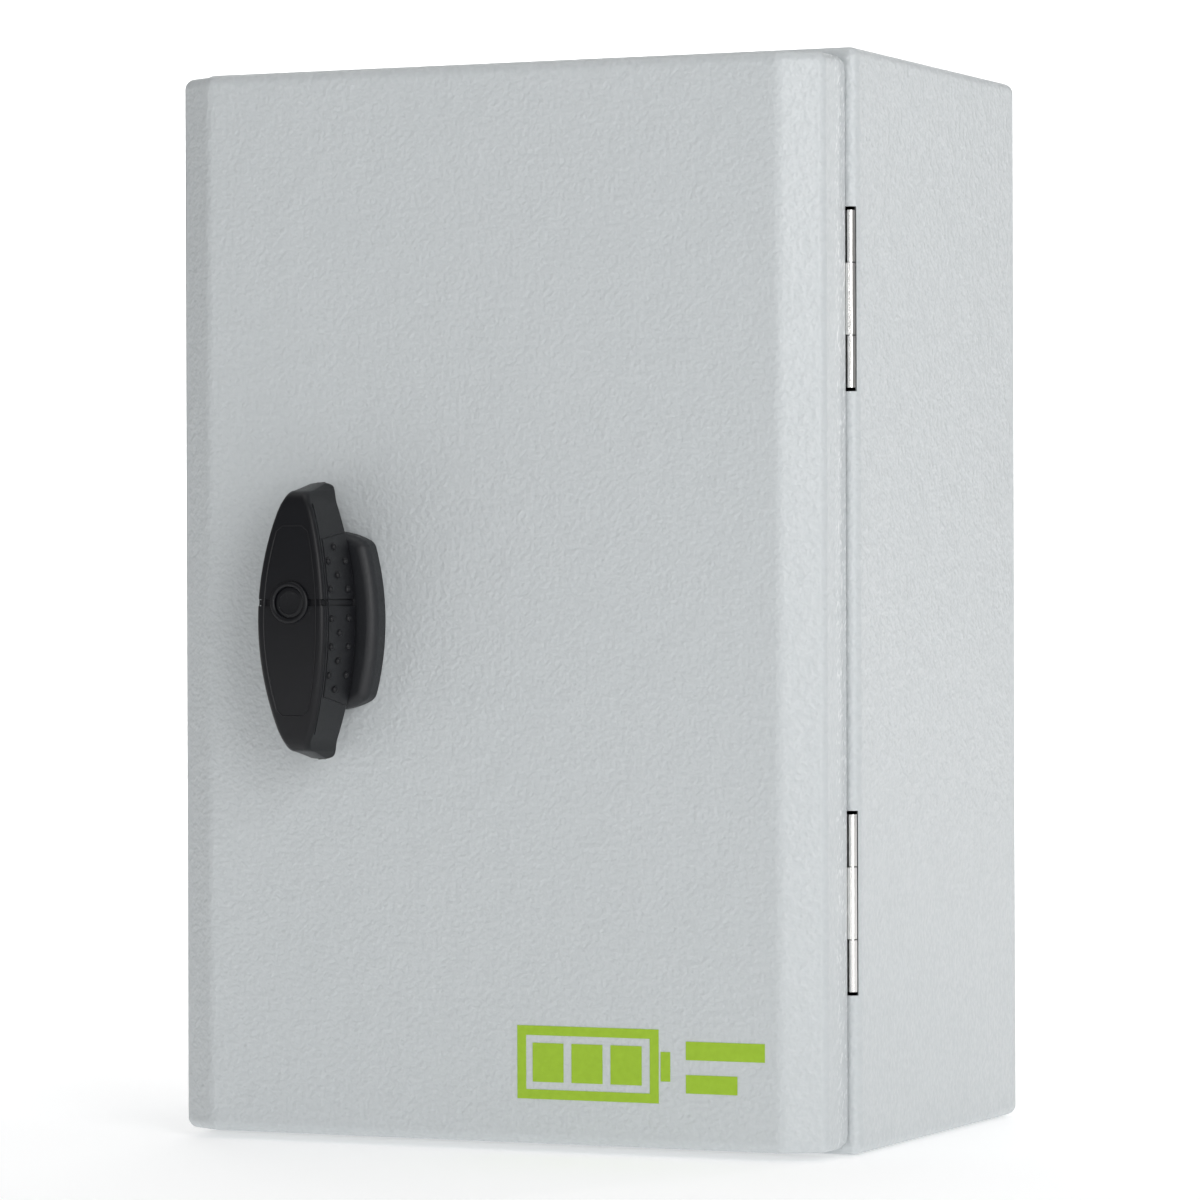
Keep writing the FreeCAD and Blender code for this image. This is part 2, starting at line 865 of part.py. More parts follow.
LUG_THICKNESS = 1.0
LUG_LENGTH = 14.0
LUG_BARREL = 2.4


def earth_wire():
    """From the lug on the body's earth stud, up and round into the open end of the duct."""
    stud_x, stud_y, stud_z = [sized(value).value for value in earth_stud_spot()]
    start = Vector(stud_x, stud_y - LUG_BARREL - 0.2, stud_z + LUG_LENGTH)
    duct_end = Vector(duct_x().value, plate_front.value - 22, ((duct_low + duct_top) / 2).value)
    points = [
        start,
        start + Vector(0, 0, 12),
        start + Vector(-3, -10, 22),
        duct_end + Vector(18, 6, 10),
        duct_end + Vector(1, 0, 1),
        duct_end + Vector(-12, -1, -1),
    ]
    wire = doc.addObject("Part::Feature", "earth_wire")
    wire.Shape = tube_along(points, cell("wire_radius").value)
    return group("earth_wires", [wire] + terminal_wires("earth", (0, 1, 2)))


def earth_lug():
    """A ring terminal on the stud with its barrel pointing up."""
    x, y, z = earth_stud_spot()
    barrel_y = y - LUG_BARREL - 0.2
    ring = cylinder("lug_ring", EARTH_THREAD * 2, (x, y, z), "-Y", LUG_THICKNESS)
    tongue = box("lug_tongue", (x - LUG_BARREL, x + LUG_BARREL), (y - LUG_THICKNESS, y),
                 (z + 3, z + 9))
    barrel = cylinder("lug_barrel", LUG_BARREL, (x, barrel_y, z + 8), "+Z", LUG_LENGTH - 8)
    hole = cylinder("lug_hole", EARTH_THREAD, (x, y + 1, z), "-Y", 2.5)
    return cut("lug", fuse("lug_blank", [ring, tongue, barrel]), [hole])


def earth_studs():
    x, y, z = earth_stud_spot()
    return group("earth_stud_set", [cylinder("earth_post", EARTH_THREAD, (x, y, z), "-Y", 14)])


def earth_nuts():
    x, y, z = earth_stud_spot()
    return group("earth_nut_set", [flange_nut("earth_hex", sized(EARTH_THREAD),
                                              (x, y - LUG_THICKNESS, z), "-Y")])


# ---------------------------------------------------------------- door

def door_outline(inset, back):
    """Plan view of the pan: front sheet, sloping side strips and side returns."""
    across, deep = cell("door_slope_width"), cell("door_slope_depth")
    slant = (across * across + deep * deep).root()
    side = door_x - inset
    front = door_front + inset
    front_end = door_x - across - inset * ((slant - across) / deep)
    side_start = door_front + deep + inset * ((slant - deep) / across)
    return [(-side, back), (-side, side_start), (-front_end, front), (front_end, front),
            (side, side_start), (side, back)]


def door_solid(name, inset, back):
    low = door_bottom + inset
    high = door_top - inset
    body = prism(name, "XY", door_outline(inset, back), high - low, low)
    front_line = (door_front + inset).value
    front_half = ((door_front + door_back) / 2).value
    round_edges(body, cell("door_front_bend") - inset,
                lambda b: runs_along("z")(b) and b.YMax < front_line + TINY)
    round_edges(body, cell("door_bend") - inset,
                lambda b: runs_along("z")(b) and front_line + 4 < b.YMax < front_half)
    return round_edges(body, cell("door_bend") - inset,
                       lambda b: b.ZLength < TINY and b.YMin < sized(back).value - TINY
                       and not (b.YMax > sized(back).value - TINY and b.YLength < TINY))


def door_corner_cut(name, side, end_z, direction):
    """Takes the square rear corner off a side return."""
    radius = cell("door_corner")
    x = door_x if side > 0 else -door_x
    x_span = (x - steel * 1.5, x + 1) if side > 0 else (x - 1, x + steel * 1.5)
    centre_z = end_z - direction * radius
    z_span = (centre_z, end_z + 1) if direction > 0 else (end_z - 1, centre_z)
    square = box(name + "_square", x_span, (door_back - radius, door_back + 1), z_span)
    disc = cylinder(name + "_disc", radius, (x_span[0] - 1, door_back - radius, centre_z), "+X",
                    steel * 2 + 4)
    return cut(name, square, [disc])


def door_panel():
    outer = door_solid("door_outer", sized(0), door_back)
    inner = door_solid("door_inner", steel, door_back + 2)
    tools = [inner, cylinder("bush_hole", cell("bush_radius"), (handle_x, door_front - 1, 0), "+Y", 6)]
    for side in (-1, 1):
        tools.append(door_corner_cut("corner_top", side, door_top, 1))
        tools.append(door_corner_cut("corner_bottom", side, door_bottom, -1))
    return cut("door", outer, tools)


def gasket():
    middle = (lip_x - steel / 2, lip_z - steel / 2)
    half = cell("gasket_width") / 2
    back = lip_front - cell("gasket_clearance")
    outer_x, outer_z = middle[0] + half, middle[1] + half
    inner_x_low, inner_z_low = middle[0] - half, middle[1] - half
    outer = block("gasket_outer", (-outer_x, outer_x), (door_inside, back), (-outer_z, outer_z),
                  cell("lip_corner") + half, runs_along("y"))
    inner = block("gasket_inner", (-inner_x_low, inner_x_low), (door_inside - 1, back + 1),
                  (-inner_z_low, inner_z_low), cell("lip_corner") - 3, runs_along("y"))
    return cut("gasket", outer, [inner])


SYMBOL_RIGHT_MARGIN = 4.5
SYMBOL_WIDTH = 73.0
SYMBOL_HEIGHT = 28.0
SYMBOL_DISTANCE = 8.5
PRINT = 0.15
STROKE = 2.6


def door_symbol():
    """A plain printed battery sign: an outline with charge bars and two stripes beside it."""
    right = door_x - cell("door_slope_width") - SYMBOL_RIGHT_MARGIN
    left = right - SYMBOL_WIDTH
    low = door_bottom + SYMBOL_DISTANCE
    high = low + SYMBOL_HEIGHT
    y_span = (door_front - PRINT, door_front)
    cell_right = left + 42
    frame = cut("sign_frame", box("sign_outer", (left, cell_right), y_span, (low + 4, high - 4)),
                [box("sign_inner", (left + STROKE, cell_right - STROKE),
                     (door_front - 1, door_front + 1), (low + 4 + STROKE, high - 4 - STROKE))])
    pieces = [frame]
    middle = (low + high) / 2
    pieces.append(box("sign_pole", (cell_right + 0.6, cell_right + 3.4), y_span,
                      (middle - 4, middle + 4)))
    for place in range(3):
        bar_left = left + STROKE + 2 + place * 11.6
        pieces.append(box("sign_bar", (bar_left, bar_left + 9.2), y_span,
                          (low + 4 + STROKE * 1.8, high - 4 - STROKE * 1.8)))
    stripe_left = cell_right + 8
    pieces.append(box("sign_stripe", (stripe_left, right), y_span, (middle + 2, middle + 7)))
    pieces.append(box("sign_stripe", (stripe_left, right - 8), y_span, (middle - 7, middle - 2)))
    return group("sign", pieces)


def door_earth_spot():
    return (half_width - 40, door_inside, -half_height + 55)


def door_earth_stud():
    return cylinder("door_stud", EARTH_THREAD, door_earth_spot(), "+Y", 12)


def door_earth_nut():
    return flange_nut("door_nut", sized(EARTH_THREAD), door_earth_spot(), "+Y")


# ---------------------------------------------------------------- hinges

def hinge_spans(z):
    """Low and high ends of the door's knuckle and of the two body knuckles about it."""
    half = cell("hinge_length") / 2
    inner = half - cell("knuckle_length")
    return (z - half, z - inner), (z + inner, z + half), (z - inner + cell("knuckle_gap"),
                                                          z + inner - cell("knuckle_gap"))


def knuckle(name, span):
    return cylinder(name, cell("hinge_radius"), (hinge_x, hinge_y, span[0]), "+Z", span[1] - span[0])


def hinge_bore(name, play, z):
    half = cell("hinge_length") / 2
    return cylinder(name, cell("hinge_pin_radius") + play, (hinge_x, hinge_y, z - half - 1), "+Z",
                    half * 2 + 2)


HINGE_SCREW_X = 7.5


def hinge_body_half(name, z):
    """Two knuckles on a leaf behind the flange, which is cut back where the door's leaf passes."""
    lower, upper, middle = hinge_spans(z)
    leaf_x = hinge_x - 12
    leaf_back = flange_back + cell("hinge_leaf")
    leaf = box(name + "_leaf", (leaf_x, hinge_x), (flange_back, leaf_back), (lower[0], upper[1]))
    passage = box(name + "_passage", (hinge_x - cell("hinge_radius") * 2 - 0.3, half_width + 1),
                  (body_front - 2, leaf_back + 1), (middle[0] - cell("knuckle_gap"),
                                                    middle[1] + cell("knuckle_gap")))
    blank = cut(name + "_blank", leaf, [passage])
    joined = fuse(name + "_joined", [blank, knuckle(name + "_low", lower), knuckle(name + "_up", upper)])
    holes = [cylinder(name + "_hole", HINGE_THREAD, (x, flange_back - 1, spot_z), "+Y", 5)
             for x, spot_z in hinge_screw_spots()]
    return cut(name, joined, [hinge_bore(name + "_bore", 0, z)] + holes)


def hinge_screw_spots():
    x = hinge_x - HINGE_SCREW_X
    offset = cell("hinge_length") / 2 - cell("knuckle_length") / 2
    return [(x, z + end * offset) for name, z in hinge_places() for end in (-1, 1)]


def hinge_body_screws():
    back = flange_back + cell("hinge_leaf")
    reach = cell("hinge_leaf") + steel + 1
    return group("hinge_screws", [pan_screw("hinge_screw", sized(HINGE_THREAD), (x, back, z), "+Y",
                                            reach) for x, z in hinge_screw_spots()])


def door_leaf_x():
    """Inner and outer side of the door's hinge leaf, which lies on the side return."""
    outer = door_x - steel
    return outer - cell("hinge_leaf"), outer


def hinge_door_half(name, z):
    """The middle knuckle on a leaf that reaches forward inside the door's side return."""
    lower, upper, middle = hinge_spans(z)
    leaf_span = door_leaf_x()
    leaf = box(name + "_leaf", leaf_span, (hinge_door_front(), hinge_y), middle)
    web = box(name + "_web", (leaf_span[0], hinge_x), (door_back + cell("leaf_play"), hinge_y), middle)
    joined = fuse(name + "_joined", [leaf, web, knuckle(name + "_knuckle", middle)])
    stud_hole = cylinder(name + "_hole", HINGE_THREAD, (leaf_span[0] - 1, hinge_stud_y(), z), "+X", 4)
    return cut(name, joined, [hinge_bore(name + "_bore", cell("hinge_pin_play"), z), stud_hole])


def hinge_door_front():
    return door_back - 13


def hinge_stud_y():
    return door_back - 8


def hinge_pins():
    pins = []
    for name, z in hinge_places():
        half = cell("hinge_length") / 2
        pins.append(cylinder("pin", cell("hinge_pin_radius"), (hinge_x, hinge_y, z - half), "+Z",
                             half * 2))
    return group("pins", pins)


def hinge_door_studs():
    outer = door_leaf_x()[1]
    return group("hinge_studs", [cylinder("hinge_stud", HINGE_THREAD, (outer, hinge_stud_y(), z), "-X",
                                          6.5) for name, z in hinge_places()])


def hinge_door_nuts():
    inner = door_leaf_x()[0]
    return group("hinge_nuts", [flange_nut("hinge_nut", sized(HINGE_THREAD),
                                           (inner, hinge_stud_y(), z), "-X")
                                for name, z in hinge_places()])


# ---------------------------------------------------------------- handle

def base_outline():
    """Front view of the base, whose ends and sides all bow outwards."""
    x = cell("base_end_width") / 2
    low = grip_z - cell("base_side_height") / 2
    high = grip_z + cell("base_side_height") / 2
    side, end = cell("base_side_radius"), cell("base_end_radius")
    return [(handle_x - x, low, end), (handle_x + x, low, side), (handle_x + x, high, end),
            (handle_x - x, high, side)]


def handle_base():
    body = prism("base", "XZ", base_outline(), cell("base_thickness"), door_front)
    round_edges(body, cell("base_corner"), runs_along("y"))
    front = -cell("base_thickness").value
    round_edges(body, cell("base_edge"), lambda b: b.YMax < front + TINY)
    bore = cylinder("base_bore", cell("neck_radius") + cell("neck_play"),
                    (handle_x, door_front - 1.5, 0), "-Y", 10)
    spindle = cylinder("base_spindle", cell("spindle_radius") + cell("spindle_play"),
                       (handle_x, door_front + 1, 0), "-Y", 10)
    return cut("handle_base_cut", body, [bore, spindle])


def grip_ends():
    """The heights of the grip's lower end, both shoulders and its upper end."""
    half = cell("grip_height") / 2
    shoulder = cell("grip_shoulder_height") / 2
    return grip_z - half, grip_z - shoulder, grip_z + shoulder, grip_z + half


def grip_outline():
    """Front view of the grip: bowed sides between the shoulders, tapered ends beyond them."""
    low, lower, upper, high = grip_ends()
    end = cell("grip_end_width") / 2
    shoulder = cell("grip_shoulder_width") / 2
    radius = cell("grip_side_radius")
    return [(handle_x - end, low), (handle_x + end, low), (handle_x + shoulder, lower, radius),
            (handle_x + shoulder, upper), (handle_x + end, high), (handle_x - end, high),
            (handle_x - shoulder, upper, radius), (handle_x - shoulder, lower)]


def grip_profile():
    """Side view of the grip: flat behind, bowed in front, with ends that slope back to their tips."""
    low, lower, upper, high = grip_ends()
    back = door_front - cell("grip_lift")
    tip = back - cell("grip_tip_depth")
    end_front = door_front - cell("grip_end_front")
    drop = cell("grip_tip_drop")
    return [(back, low), (back, high), (tip, high),
            (end_front, high - drop, cell("grip_front_radius")), (end_front, low + drop), (tip, low)]


def grip_solid(name):
    front_view = prism(name + "_front", "XZ", grip_outline(), cell("grip_front") + 10, door_front)
    side_view = prism(name + "_side", "YZ", grip_profile(), 60, handle_x - 30)
    return common(name, front_view, side_view)


def groove_tool():
    """The narrow groove round the front and both sides of the grip at the spindle's height."""
    half = cell("groove_width") / 2
    reach = grip_half_width()
    front = door_front - cell("grip_front")
    back = door_front - cell("grip_lift")
    outer = box("groove_outer", (handle_x - 30, handle_x + 30), (front - 5, back + 1), (-half, half))
    core = box("groove_core", (handle_x - reach + cell("groove_depth"),
                               handle_x + reach - cell("groove_depth")),
               (front + cell("groove_depth"), back + 2), (-half - 1, half + 1))
    return cut("groove", outer, [core])


def grip_half_width():
    """Half the grip's width at the spindle, from its shoulders and the bow of its sides."""
    radius = cell("grip_side_radius").value
    half_chord = cell("grip_shoulder_height").value / 2
    bow = math.sqrt(radius ** 2 - cell("handle_drop").value ** 2)
    bow -= math.sqrt(radius ** 2 - half_chord ** 2)
    return cell("grip_shoulder_width") / 2 + bow


def handle_grip():
    neck = cylinder("neck", cell("neck_radius"), (handle_x, door_front - 2, 0), "-Y",
                    cell("grip_lift") + 2)
    ring_seat = cylinder("ring_seat", cell("ring_radius"), ring_back(), "-Y", 20)
    spindle = cylinder("grip_spindle", cell("spindle_radius"), (handle_x, door_front - 1, 0), "-Y",
                       14)
    return cut("grip", fuse("grip_and_neck", [grip_solid("grip_body"), neck]),
               [groove_tool(), ring_seat, spindle])


def ring_back():
    return (handle_x, door_front - cell("grip_front") + 3, 0)


def lock_ring():
    rim = cylinder("rim", cell("ring_radius"), ring_back(), "-Y", 3.9)
    hole = cylinder("rim_hole", cell("cap_radius"), ring_back(), "-Y", 6)
    return cut("lock_rim", rim, [hole])


def lock_cap():
    return cylinder("cap", cell("cap_radius"), ring_back(), "-Y", 3.5)


def spindle():
    front = door_front - 13
    back = cam_front() + cell("cam_thickness")
    return cylinder("shaft", cell("spindle_radius"), (handle_x, front, 0), "+Y", back - front)


def lock_bush():
    """The threaded bush that passes through the door and guides the spindle."""
    tube = cylinder("bush_tube", cell("bush_radius"), (handle_x, door_front, 0), "+Y",
                    cell("bush_length"))
    bore = cylinder("bush_bore", cell("spindle_radius") + cell("spindle_play"),
                    (handle_x, door_front - 1, 0), "+Y", cell("bush_length") + 2)
    return cut("bush", tube, [bore])


def lock_nut():
    nut = hexagon("nut_hex", cell("bush_radius") * 2.8, (handle_x, door_inside, 0), "+Y", 5)
    bore = cylinder("nut_bore", cell("bush_radius"), (handle_x, door_inside - 1, 0), "+Y", 7)
    return cut("bush_nut", nut, [bore])


def cam_front():
    return flange_back + cell("cam_play")


def latch_cam():
    """A flat tongue that turns behind the left flange."""
    half = cell("cam_width") / 2
    y = cam_front() + cell("cam_thickness")
    corners = rectangle((handle_x - cell("cam_reach"), handle_x + half), (-half, half))
    cam = prism("cam", "XZ", corners, cell("cam_thickness"), y, [(handle_x, 0, cell("spindle_radius"))])
    return round_edges(cam, 6, runs_along("y"))


def cam_bolt():
    back = cam_front() + cell("cam_thickness")
    washer = cylinder("cam_washer", 7.5, (handle_x, back, 0), "+Y", 1.2)
    head = hexagon("cam_head", 10, (handle_x, back + 1.2, 0), "+Y", 4)
    return fuse("cam_fixing", [washer, head])


# ---------------------------------------------------------------- the whole cabinet

def build():
    node("enclosure_body", enclosure_body())
    node("gland_gasket", gland_foam())
    node("gland_plate", gland_plate())
    node("gland_studs", gland_studs())
    node("gland_nuts", gland_nuts())
    node("plate_studs", plate_studs())
    node("mounting_plate", mounting_plate())
    node("plate_nuts", plate_nuts())
    for name in RAILS:
        node(f"din_rail_{name}", rail(name))
    node("rail_screws", rail_screws())
    for side, left in BANKS.items():
        node(f"breaker_{side}", breaker(f"breaker_{side}_body", left))
        node(f"breaker_{side}_toggle", breaker_toggle(f"toggle_{side}", left))
        node(f"contactor_{side}", contactor(f"contactor_{side}_body", left))
    node("relay_case", relay())
    node("relay_dial", relay_dial())
    node("device_screws", device_screws())
    for kind in TERMINALS:
        node(f"terminals_{kind}", terminal_group(kind))
    node("terminal_end_stops", end_stops())
    node("terminal_screws", terminal_screws())
    node("wiring_duct", wiring_duct())
    node("wiring_duct_cover", duct_cover())
    for phase, colour in enumerate(("brown", "black", "grey")):
        node(f"wires_{colour}", phase_wires(f"{colour}_wires", phase))
    node("wires_blue", group("blue_wires", terminal_wires("neutral", (0, 1, 2))))
    node("wires_earth", earth_wire())
    node("earth_lug", earth_lug())
    node("earth_stud", earth_studs())
    node("earth_nut", earth_nuts())
    for name, z in hinge_places():
        node(f"hinge_{name}_body_half", hinge_body_half(f"body_half_{name}", z))
        node(f"hinge_{name}_door_half", hinge_door_half(f"door_half_{name}", z))
    node("hinge_pins", hinge_pins())
    node("hinge_body_screws", hinge_body_screws())
    node("hinge_door_studs", hinge_door_studs())
    node("hinge_door_nuts", hinge_door_nuts())
    node("door_panel", door_panel())
    node("door_gasket", gasket())
    node("door_symbol", door_symbol())
    node("door_earth_stud", door_earth_stud())
    node("door_earth_nut", door_earth_nut())
    node("handle_base", handle_base())
    node("handle_grip", handle_grip())
    node("handle_lock_ring", lock_ring())
    node("handle_lock_cap", lock_cap())
    node("handle_spindle", spindle())
    node("lock_bush", lock_bush())
    node("lock_nut", lock_nut())
    node("latch_cam", latch_cam())
    node("cam_bolt", cam_bolt())


def check_document():
    """Stops if any object failed or any piece has no sound shape."""
    for item in doc.Objects:
        if "Invalid" in item.State or "Error" in item.State:
            raise RuntimeError(f"{item.Label} did not compute: {item.State}")
    for item in NODES:
        if item.Shape.isNull() or not item.Shape.isValid():
            raise RuntimeError(f"{item.Label} has no sound shape")
        print(f"{item.Label}: {len(item.Shape.Solids)} solids, {item.Shape.Volume:.0f} mm3")


def write_parts():
    os.makedirs("parts", exist_ok=True)
    for item in NODES:
        item.Shape.exportStep(f"parts/{item.Label}.step")


build()
doc.recompute()
check_document()
write_parts()
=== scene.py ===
import json
import math

import bmesh
import bpy
from mathutils import Matrix, Vector


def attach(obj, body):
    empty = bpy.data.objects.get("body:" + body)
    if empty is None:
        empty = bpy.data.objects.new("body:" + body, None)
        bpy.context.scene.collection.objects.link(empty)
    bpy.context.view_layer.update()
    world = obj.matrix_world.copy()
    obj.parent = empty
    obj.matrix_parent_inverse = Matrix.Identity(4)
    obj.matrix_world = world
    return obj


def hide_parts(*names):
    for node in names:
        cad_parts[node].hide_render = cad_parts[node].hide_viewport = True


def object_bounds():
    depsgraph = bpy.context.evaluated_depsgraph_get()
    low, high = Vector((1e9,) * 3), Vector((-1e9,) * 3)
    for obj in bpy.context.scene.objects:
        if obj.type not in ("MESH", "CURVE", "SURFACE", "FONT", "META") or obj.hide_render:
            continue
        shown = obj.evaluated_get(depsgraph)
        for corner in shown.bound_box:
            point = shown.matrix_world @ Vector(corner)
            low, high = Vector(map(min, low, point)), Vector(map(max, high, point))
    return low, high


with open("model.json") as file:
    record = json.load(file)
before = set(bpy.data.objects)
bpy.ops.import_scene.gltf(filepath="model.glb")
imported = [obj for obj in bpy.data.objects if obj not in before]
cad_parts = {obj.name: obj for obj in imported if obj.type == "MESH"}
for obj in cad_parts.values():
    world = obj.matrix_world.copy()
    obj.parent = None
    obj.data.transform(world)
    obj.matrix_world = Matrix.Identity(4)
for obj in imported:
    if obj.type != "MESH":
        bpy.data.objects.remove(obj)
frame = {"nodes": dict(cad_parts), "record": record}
cad_low, cad_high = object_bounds()
MM = 0.001


# ---------------------------------------------------------------- camera, floor and lights

LENS = 165.6
CAMERA_DISTANCE = 1579.9 * MM
CAMERA_AZIMUTH = math.radians(23.89)
CAMERA_TARGET = Vector((0.35, -75, 5.05)) * MM
CAMERA_PITCH = math.radians(-0.175)
CAMERA_ROLL = math.radians(-0.177)


def make_camera():
    """A long lens, level with the middle of the box and to the right of its door."""
    camera = bpy.data.objects.new("camera", bpy.data.cameras.new("camera"))
    bpy.context.scene.collection.objects.link(camera)
    back = Vector((math.sin(CAMERA_AZIMUTH), -math.cos(CAMERA_AZIMUTH), 0))
    camera.location = CAMERA_TARGET + back * CAMERA_DISTANCE
    level = Matrix.Rotation(CAMERA_AZIMUTH, 4, "Z") @ Matrix.Rotation(math.radians(90), 4, "X")
    tilt = Matrix.Rotation(CAMERA_PITCH, 4, "X") @ Matrix.Rotation(CAMERA_ROLL, 4, "Z")
    camera.rotation_euler = (level @ tilt).to_euler()
    camera.data.lens = LENS
    camera.data.sensor_width = 36
    camera.data.clip_end = 50
    bpy.context.scene.camera = camera


def make_stage():
    """A pale sheet just under the box and another upright behind it, far larger than the view."""
    bpy.ops.object.select_all(action="DESELECT")
    bpy.ops.mesh.primitive_plane_add(size=12, location=(0, 0, cad_low.z - 0.0005))
    floor = bpy.context.object
    floor.name = "studio_floor"
    bpy.ops.mesh.primitive_plane_add(size=2.6, location=(-1.15, 2.5, 0),
                                     rotation=(math.radians(90), 0, CAMERA_AZIMUTH))
    backdrop = bpy.context.object
    backdrop.name = "studio_backdrop"
    paint(floor, LIT_TABLE)
    paint(backdrop, BACKDROP_PAPER)


def make_light(name, place, aim, size, power):
    """A soft panel at place that faces aim."""
    lamp = bpy.data.lights.new(name, "AREA")
    lamp.shape = "RECTANGLE"
    lamp.size, lamp.size_y = size
    lamp.energy = power
    panel = bpy.data.objects.new(name, lamp)
    bpy.context.scene.collection.objects.link(panel)
    panel.location = place
    panel.rotation_euler = (Vector(aim) - Vector(place)).to_track_quat("-Z", "Y").to_euler()


def light_the_studio():
    world = bpy.data.worlds.new("studio")
    bpy.context.scene.world = world
    world.use_nodes = True
    world.node_tree.nodes["Background"].inputs["Color"].default_value = (1, 1, 1, 1)
    world.node_tree.nodes["Background"].inputs["Strength"].default_value = 0.27
    middle = (0, -0.075, 0)
    make_light("key_panel", (1.2, -1.2, 0.35), middle, (0.8, 1.4), 12.2)
    make_light("rim_strip", (0.72, 1.4, 0.3), middle, (0.12, 1.2), 2.7)
    make_light("front_strip", (0.35, -1.7, 0.1), middle, (0.1, 1.0), 1.6)
    make_light("top_panel", (0.1, 0.1, 2.0), (0, 0, 0), (2.0, 2.0), 12)
    make_light("backdrop_panel", (-0.7, 1.4, 1.6), (-1.15, 2.5, 0.1), (1.6, 0.8), 44)
    bpy.context.scene.view_settings.view_transform = "Standard"


# ---------------------------------------------------------------- material tools

def linear(hex_colour):
    """An sRGB hex value as the linear colour that a shader socket takes."""
    values = [int(hex_colour[start:start + 2], 16) / 255 for start in (1, 3, 5)]
    return (*[v / 12.92 if v <= 0.04045 else ((v + 0.055) / 1.055) ** 2.4 for v in values], 1)


def per_mm(size):
    """The texture scale whose pattern repeats about every so many millimetres."""
    return 1 / (size * MM)


def add(tree, kind, output, links, **settings):
    """Adds a shader node with its properties set and its inputs filled, and returns one output.

    links gives each input a value, or the output of another node to be joined to it.
    """
    made = tree.nodes.new("ShaderNode" + kind)
    for name, value in settings.items():
        setattr(made, name, value)
    for name, source in links.items():
        if isinstance(source, bpy.types.NodeSocket):
            tree.links.new(source, made.inputs[name])
        else:
            made.inputs[name].default_value = source
    return made.outputs[output] if output else made


def new_material(name):
    """A material with no nodes but object coordinates: (material, tree, place)."""
    material = bpy.data.materials.new(name)
    material.use_nodes = True
    tree = material.node_tree
    tree.nodes.clear()
    return material, tree, add(tree, "TexCoord", "Object", {})


def paint(piece, material):
    piece.data.materials.clear()
    piece.data.materials.append(material)


# ---------------------------------------------------------------- materials

FOLD_BACK = -127.6
FOLD_FRONT = -137.5


def powder_coat():
    """Textured polyester powder coat, baked on steel: satin, with soft pebbles about 1 mm across.

    The pebbles mottle the flats. Along the folded edges a painted highlight is mixed into the colour:
    short leaning dashes, lifted almost to white, that stand in for glints of light.
    prouder and each catches the light as a short bright dash.
    """
    material, tree, place = new_material("textured_polyester_powder_coat")
    pebbles = add(tree, "TexNoise", "Fac", {"Vector": place, "Scale": per_mm(1.5), "Detail": 1.0,
                                            "Roughness": 0.5})
    swell = add(tree, "TexNoise", "Fac", {"Vector": place, "Scale": per_mm(8), "Detail": 1.0})
    blotches = add(tree, "TexNoise", "Fac", {"Vector": place, "Scale": per_mm(45), "Detail": 2.0})
    leaning = add(tree, "Mapping", "Vector", {"Vector": place, "Rotation": (-0.3, 0, 0),
                                              "Scale": (1, 1, 2.6)}, vector_type="TEXTURE")
    runs = add(tree, "TexNoise", "Fac", {"Vector": leaning, "Scale": per_mm(0.62), "Detail": 0.0})
    depth = add(tree, "SeparateXYZ", "Y", {"Vector": place})
    behind = add(tree, "MapRange", "Result", {
        "Value": depth, "From Min": FOLD_FRONT * MM, "From Max": (FOLD_FRONT + 2.5) * MM})
    ahead = add(tree, "MapRange", "Result", {
        "Value": depth, "From Min": FOLD_BACK * MM, "From Max": (FOLD_BACK - 1.5) * MM})
    on_fold = add(tree, "Math", "Value", {0: behind, 1: ahead}, operation="MULTIPLY")
    # painted highlight: leaning noise picked out as short dashes in a band along the folds
    painted_glint_dashes = add(tree, "MapRange", "Result", {"Value": runs, "From Min": 0.62, "From Max": 0.72,
                                             "To Max": 0.5})
    painted_glints = add(tree, "Math", "Value", {0: painted_glint_dashes, 1: on_fold}, operation="MULTIPLY")
    base = add(tree, "Mix", "Result", {"Factor": blotches, "A": linear("#cacfd1"),
                                       "B": linear("#ced2d4")}, data_type="RGBA")
    mottle = add(tree, "MapRange", "Result", {"Value": pebbles, "From Min": 0.35, "From Max": 0.65})
    shaded = add(tree, "Mix", "Result", {"Factor": mottle, "A": linear("#c8cdcf"), "B": base},
                 data_type="RGBA")
    # painted glints: the colour is mixed towards near-white where the dashes fall, with no change to bump
    # or roughness
    colour = add(tree, "Mix", "Result", {"Factor": painted_glints, "A": shaded, "B": linear("#fafcfd")},
                 data_type="RGBA")
    rough = add(tree, "MapRange", "Result", {"Value": pebbles, "From Min": 0.3, "From Max": 0.7,
                                             "To Min": 0.42, "To Max": 0.3})
    height = add(tree, "Math", "Value", {0: pebbles, 1: swell}, operation="ADD")
    normal = add(tree, "Bump", "Normal", {"Height": height, "Distance": 0.3 * MM})
    shader = add(tree, "BsdfPrincipled", "BSDF", {"Base Color": colour, "Roughness": rough,
                                                  "Normal": normal, "IOR": 1.5})
    add(tree, "OutputMaterial", None, {"Surface": shader})
    return material


def moulded_black():
    """Glass-filled nylon moulded against a spark-eroded tool: deep blue-black with a fine matt grain."""
    material, tree, place = new_material("glass_filled_nylon_black")
    fine = add(tree, "TexNoise", "Fac", {"Vector": place, "Scale": per_mm(0.35), "Detail": 2.0})
    flow = add(tree, "TexNoise", "Fac", {"Vector": place, "Scale": per_mm(12), "Detail": 2.0})
    colour = add(tree, "Mix", "Result", {"Factor": flow, "A": linear("#0a0b0f"),
                                         "B": linear("#0f1015")}, data_type="RGBA")
    rough = add(tree, "MapRange", "Result", {"Value": fine, "From Min": 0.3, "From Max": 0.7,
                                             "To Min": 0.44, "To Max": 0.34})
    normal = add(tree, "Bump", "Normal", {"Height": fine, "Distance": 0.02 * MM})
    shader = add(tree, "BsdfPrincipled", "BSDF", {
        "Base Color": colour, "Roughness": rough, "Normal": normal, "IOR": 1.5,
        "Specular IOR Level": 0.32})
    add(tree, "OutputMaterial", None, {"Surface": shader})
    return material


